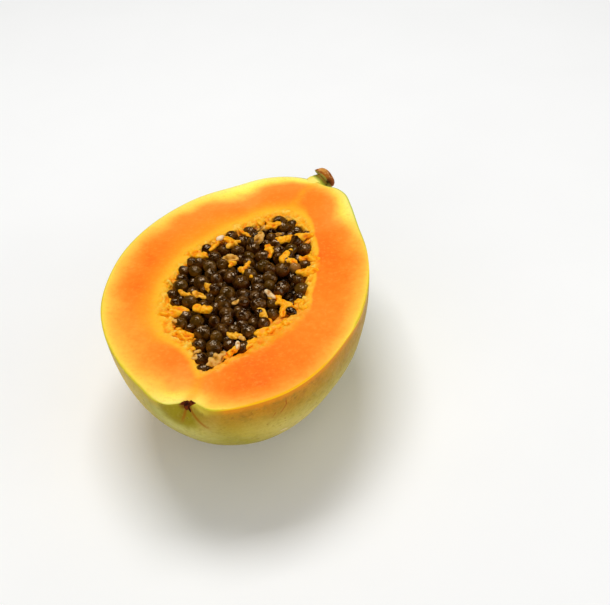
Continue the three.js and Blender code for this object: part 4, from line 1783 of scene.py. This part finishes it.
@dataclass(frozen=True)
class Stem:
    """The stem's green neck, and the dried cap that leans over on its end.

    Attributes:
        path: The neck's middle line, from inside the shoulder to the cap.
        neck: Share of the path, half width and half height of the neck there.
        cap_at: Middle of the cap's underside.
        cap_axis: Direction the cap faces.
        tip_axis: Direction across the cap to its pointed lip.
        cap: Distance along the cap's axis and its radius there.
        fleck: A dry fleck on the rim beside the stem.
        cleft_angle: Degrees from the pointed lip to the cleft.
        smoothing: Rounds that smooth the neck's middle line.
        ribs: Ribs round the neck.
        rib_depth: How far they stand out.
        sunk: Depth of the neck's foot under the cut plane.
        shoulder: Place along y where the neck comes free of the fruit.
        greening: Direction in which the neck turns from yellow to green.
        green_span: Distances that way where this starts and ends.
        lip: Size of the pointed lip, and its width in degrees.
        cleft: Depth of the cleft, and its width in degrees.
        lip_drop: How far the lip hangs back over the neck.
        tilt: How far one side of the cap stands above the other.
        crumble: Roughness of the cork, as a share of its radius.
    """

    place: Placement
    path: tuple[Triple, ...] = (
        (5.4, 67.5, -6.6), (6.2, 74.2, -4.8), (7.6, 78.2, -3.4), (9.8, 81.4, -2.3),
    )  # fmt: skip
    neck: tuple[Triple, ...] = (
        (0.0, 7.2, 5.2), (0.3, 6.8, 5.0), (0.5, 6.2, 4.8), (0.65, 5.0, 4.4), (0.78, 4.0, 3.9),
        (0.9, 3.3, 3.3), (1.0, 3.1, 3.1),
    )  # fmt: skip
    cap_at: Triple = (9.8, 80.95, -2.4)
    cap_axis: Triple = (0.531, 0.773, 0.350)
    tip_axis: Triple = (-0.738, 0.224, 0.634)
    cap: tuple[Pair, ...] = (
        (-0.6, 2.3), (-0.4, 3.6), (-0.1, 4.5), (0.3, 4.85), (0.9, 5.05), (1.8, 4.95),
        (2.7, 4.4), (3.4, 3.5), (3.8, 2.5), (4.0, 1.2),
    )  # fmt: skip
    fleck: Lump = Lump((0.7, 76.7, -0.4), (2.3, 76.6, -0.1), 0.7, 3)
    cleft_angle: float = 125.0
    sides: int = 72
    neck_steps: int = 44
    cap_steps: int = 36
    smoothing: int = 30
    ribs: int = 9
    rib_depth: float = 0.12
    sunk: float = 0.6
    shoulder: float = 75.5
    greening: Triple = (0.568, 0.643, 0.494)
    green_span: Pair = (51.6, 56.4)
    lip: Pair = (0.24, 22)
    cleft: Pair = (0.3, 20)
    lip_drop: float = 0.5
    tilt: float = 0.35
    crumble: float = 0.06

    @property
    def around(self) -> Array:
        """Turn of each point of a ring, in radians."""
        return np.linspace(0, 2 * np.pi, self.sides, endpoint=False)

    def neck_rings(self) -> Array:
        """Rings of points (neck_steps + 1, sides, 3) along the neck."""
        shares = np.linspace(0, 1, self.neck_steps + 1)
        knots = np.linspace(0, 1, len(self.path))
        line = np.stack([np.interp(shares, knots, axis) for axis in np.array(self.path).T], axis=1)
        for _ in range(self.smoothing):
            line[1:-1] = (line[:-2] + 2 * line[1:-1] + line[2:]) / 4
        tangent = np.gradient(line, axis=0)
        tangent /= np.linalg.norm(tangent, axis=1, keepdims=True)
        across = np.cross(tangent, [0, 0, 1])
        across /= np.linalg.norm(across, axis=1, keepdims=True)
        raised = np.cross(across, tangent)
        turn = self.around
        table = np.array(self.neck)
        width, height = (np.interp(shares, table[:, 0], table[:, n]) for n in (1, 2))
        rings = line[:, None] + across[:, None] * (width[:, None] * np.cos(turn))[..., None]
        return rings + raised[:, None] * (height[:, None] * np.sin(turn))[..., None]

    def ceiling(self, rings: Array) -> Array:
        """Height that the neck stays under: sunk in the shoulder, then free towards the cap."""
        y = rings[..., 1]
        return 0.75 * ease(y, 70, 75) - self.sunk + 0.5 * (y - self.shoulder).clip(0)

    def closed(self, rings: Array) -> tuple[Array, Array]:
        """Rings with both ends drawn to a point, and the faces between them."""
        ends = [np.repeat(rings[n].mean(0)[None], rings.shape[1], axis=0)[None] for n in (0, -1)]
        rows = np.concatenate([ends[0], rings, ends[1]])
        return rows, grid_faces(len(rows), rows.shape[1], closed=True)

    def build_neck(self) -> bpy.types.Object:
        """The green neck, its foot sunk in the fruit's shoulder under the cut plane."""
        rings = self.neck_rings()
        ribs = self.rib_depth * np.sin(self.ribs * self.around)
        centre = rings.mean(1, keepdims=True)
        rough = ribs[None] + 0.35 * waves(rings, 4, 2)
        rings = rings + (rings - centre) / 5 * rough[..., None]
        rings[..., 2] = np.minimum(rings[..., 2], self.ceiling(rings))
        rows, faces = self.closed(rings)
        fresh = ease(rows @ np.array(self.greening), *self.green_span)
        below = self.ceiling(rows) - rows[..., 2]
        fresh = np.maximum(fresh, 0.62 * ease(below, 0.8, 2.6))
        mesh = mesh_of("stem_neck", self.place.metres(rows), faces, {"along": fresh})
        return add_piece("stem_neck", mesh, [StemNeck().material()], "stem_stub")

    def build_cap(self) -> bpy.types.Object:
        """The dried cap: green underside, pointed lip, cork dome and a cleft at its foot."""
        table = np.array(self.cap)
        knots = np.linspace(0, 1, len(table))
        steps = np.linspace(0, 1, self.cap_steps + 1)
        along, radius = (np.interp(steps, knots, table[:, n])[:, None] for n in (0, 1))
        turn = self.around[None]
        axis, tip = (np.array(v) / np.linalg.norm(v) for v in (self.cap_axis, self.tip_axis))
        side = np.cross(axis, tip)
        (point, lip_width), (notch, cleft_width) = self.lip, self.cleft
        gap = (np.degrees(turn) + 180) % 360 - 180
        lip = np.exp(-((gap / lip_width) ** 2)) * np.exp(-(((along - 0.2) / 0.8) ** 2))
        away = (np.degrees(turn) - self.cleft_angle + 180) % 360 - 180
        cleft = np.exp(-((away / cleft_width) ** 2)) * np.exp(-(((along + 0.1) / 1.1) ** 2))
        radius = radius * (1 + point * lip - notch * cleft + 0.03 * np.sin(5 * turn + 1))
        along = along - self.lip_drop * lip + self.tilt * np.cos(turn + 0.8)
        rings = np.array(self.cap_at) + along[..., None] * axis
        rings = rings + (radius * np.cos(turn))[..., None] * tip
        rings = rings + (radius * np.sin(turn))[..., None] * side
        centre = rings.mean(1, keepdims=True)
        rings = rings + (rings - centre) * (self.crumble * waves(rings, 2.6, 3, 2.0))[..., None]
        rows, faces = self.closed(rings)
        wide = np.broadcast_to(along, rings.shape[:2])
        wide = np.concatenate([wide[:1], wide, wide[-1:]])
        lit = np.concatenate([turn, *[turn] * len(rings), turn])
        values = {
            "lip": 1 - ease(wide, -0.3, 0.12),
            "lit": ease(np.cos(lit), -0.2, 0.9) * ease(wide, 0.2, 1.2),
            "cleft": np.concatenate([cleft[:1], cleft, cleft[-1:]]),
        }
        mesh = mesh_of("stem_cap", self.place.metres(rows), faces, values)
        return add_piece("stem_cap", mesh, [DriedStemCap().material()])

    def build(self) -> list[bpy.types.Object]:
        """The finished pieces."""
        fleck = lumps_mesh("stem_fleck", self.place, [self.fleck], 3)
        fleck = add_piece("stem_fleck", fleck, [DriedStemCap().material()])
        return [self.build_neck(), self.build_cap(), fleck]


@dataclass(frozen=True)
class BlossomScar:
    """The small dried star where the blossom sat, in the notch of the rim."""

    place: Placement
    arms: tuple[Lump, ...] = (
        Lump((8.2, -74.2, -1.0), (8.9, -74.1, -1.8), 3.2, 1, 0.9, 0.1, 0.3),
        Lump((8.0, -74.3, -0.6), (5.4, -75.5, -0.2), 1.7, 2, 0.8, 0.8, 0.3),
        Lump((8.8, -74.0, -0.8), (10.9, -74.0, -0.2), 2.5, 3, 0.8, 0.7, 0.3),
        Lump((8.2, -74.3, -1.4), (7.7, -75.1, -3.2), 1.6, 4, 0.8, 0.4, 0.4),
        Lump((9.0, -74.4, -1.8), (9.6, -74.9, -3.2), 1.1, 5, 0.8, 0.5, 0.4),
        Lump((8.0, -74.2, -0.6), (7.2, -74.2, 0.3), 1.1, 6, 0.8, 0.6, 0.4),
    )
    detail: int = 4

    def build(self) -> bpy.types.Object:
        """The finished piece."""
        mesh = lumps_mesh("blossom_scar", self.place, self.arms, self.detail)
        return add_piece("blossom_scar", mesh, [DriedBlossom().material()])


# ---- studio ----


@dataclass(frozen=True)
class SoftLight:
    """A rectangular soft light that faces the fruit.

    Attributes:
        name: Name of the light.
        at: Place in metres.
        size: Its two sides in metres.
        power: Watts.
        mirrored: Whether wet surfaces show its reflection.
    """

    name: str
    at: Triple
    size: Pair
    power: float
    mirrored: bool = True

    def build(self, target: Vector) -> bpy.types.Object:
        """The light, turned towards the target."""
        data = bpy.data.lights.new(self.name, "AREA")
        data.shape = "RECTANGLE"
        data.size, data.size_y = self.size
        data.energy = self.power
        lamp = bpy.data.objects.new(self.name, data)
        lamp.location = self.at
        lamp.rotation_euler = (target - lamp.location).to_track_quat("-Z", "Y").to_euler()
        lamp.visible_glossy = self.mirrored
        bpy.context.scene.collection.objects.link(lamp)
        return lamp


@dataclass(frozen=True)
class Studio:
    """Pale floor, soft light from above, and the camera that looks down on the cut face."""

    place: Placement
    lens: float = 76.72
    distance: float = 508.34
    look_at: Triple = (31.45, -9.24, 0.0)
    azimuth: float = 22.29
    elevation: float = 37.5
    roll: float = -6.0
    sensor: float = 36.0
    clip: Pair = (0.01, 20)
    floor_size: float = 6.0
    sky: float = 0.3
    lights: tuple[SoftLight, ...] = (
        SoftLight("key", (-0.15, 0.25, 0.95), (0.55, 0.4), 6.2),
        SoftLight("fill", (0.1, -0.95, 0.42), (1.6, 0.5), 3.8, mirrored=False),
        SoftLight("side", (0.95, -0.1, 0.3), (0.9, 0.5), 2.6),
    )

    def build(self) -> None:
        """Makes the floor, the lights, the sky and the camera."""
        scene = bpy.context.scene
        half = self.floor_size / 2
        corners = [(-half, -half, 0), (half, -half, 0), (half, half, 0), (-half, half, 0)]
        mesh = bpy.data.meshes.new("floor")
        mesh.from_pydata(corners, [], [(0, 1, 2, 3)])
        paper = Finish("white_paper")
        tint = paper.mix(paper.mottle(60.0), "#f7f7f6", "#fbfbfa")
        mesh.materials.append(paper.paint(tint, 0.85, 0.1))
        floor = bpy.data.objects.new("floor", mesh)
        scene.collection.objects.link(floor)
        world = bpy.data.worlds.new("sky")
        world.use_nodes = True
        world.node_tree.nodes["Background"].inputs["Color"].default_value = srgb("#ffffff")
        world.node_tree.nodes["Background"].inputs["Strength"].default_value = self.sky
        scene.world = world
        world.cycles_visibility.glossy = False
        target = self.place.vector((0, 0, 0))
        for light in self.lights:
            light.build(target)
        scene.view_settings.view_transform = "Standard"
        self.build_camera()

    def build_camera(self) -> None:
        """Makes the camera and hands it to the scene."""
        azimuth, elevation = math.radians(self.azimuth), math.radians(self.elevation)
        back = Vector(
            (
                math.sin(azimuth) * math.cos(elevation),
                -math.cos(azimuth) * math.cos(elevation),
                math.sin(elevation),
            )
        )
        data = bpy.data.cameras.new("camera")
        data.sensor_fit = "HORIZONTAL"
        data.sensor_width = self.sensor
        data.lens = self.lens
        data.clip_start, data.clip_end = self.clip
        camera = bpy.data.objects.new("camera", data)
        target = self.place.vector(self.look_at)
        level = (-back).to_track_quat("-Z", "Y").to_matrix().to_4x4()
        rolled = level @ Matrix.Rotation(math.radians(self.roll), 4, "Z")
        camera.matrix_world = Matrix.Translation(target + back * self.distance * MM) @ rolled
        bpy.context.scene.collection.objects.link(camera)
        bpy.context.scene.camera = camera


def main() -> None:
    """Builds every piece and the studio."""
    logging.basicConfig(level=logging.INFO, format="%(message)s")
    form = FruitForm()
    place = Placement.from_frame(form)
    Flesh(form, place).build()
    SeedBed(form, place).build()
    SeedHeap(form, place).build()
    Pulp(form, place).build()
    Stem(place).build()
    BlossomScar(place).build()
    Studio(place).build()


if __name__ == "__main__":
    main()
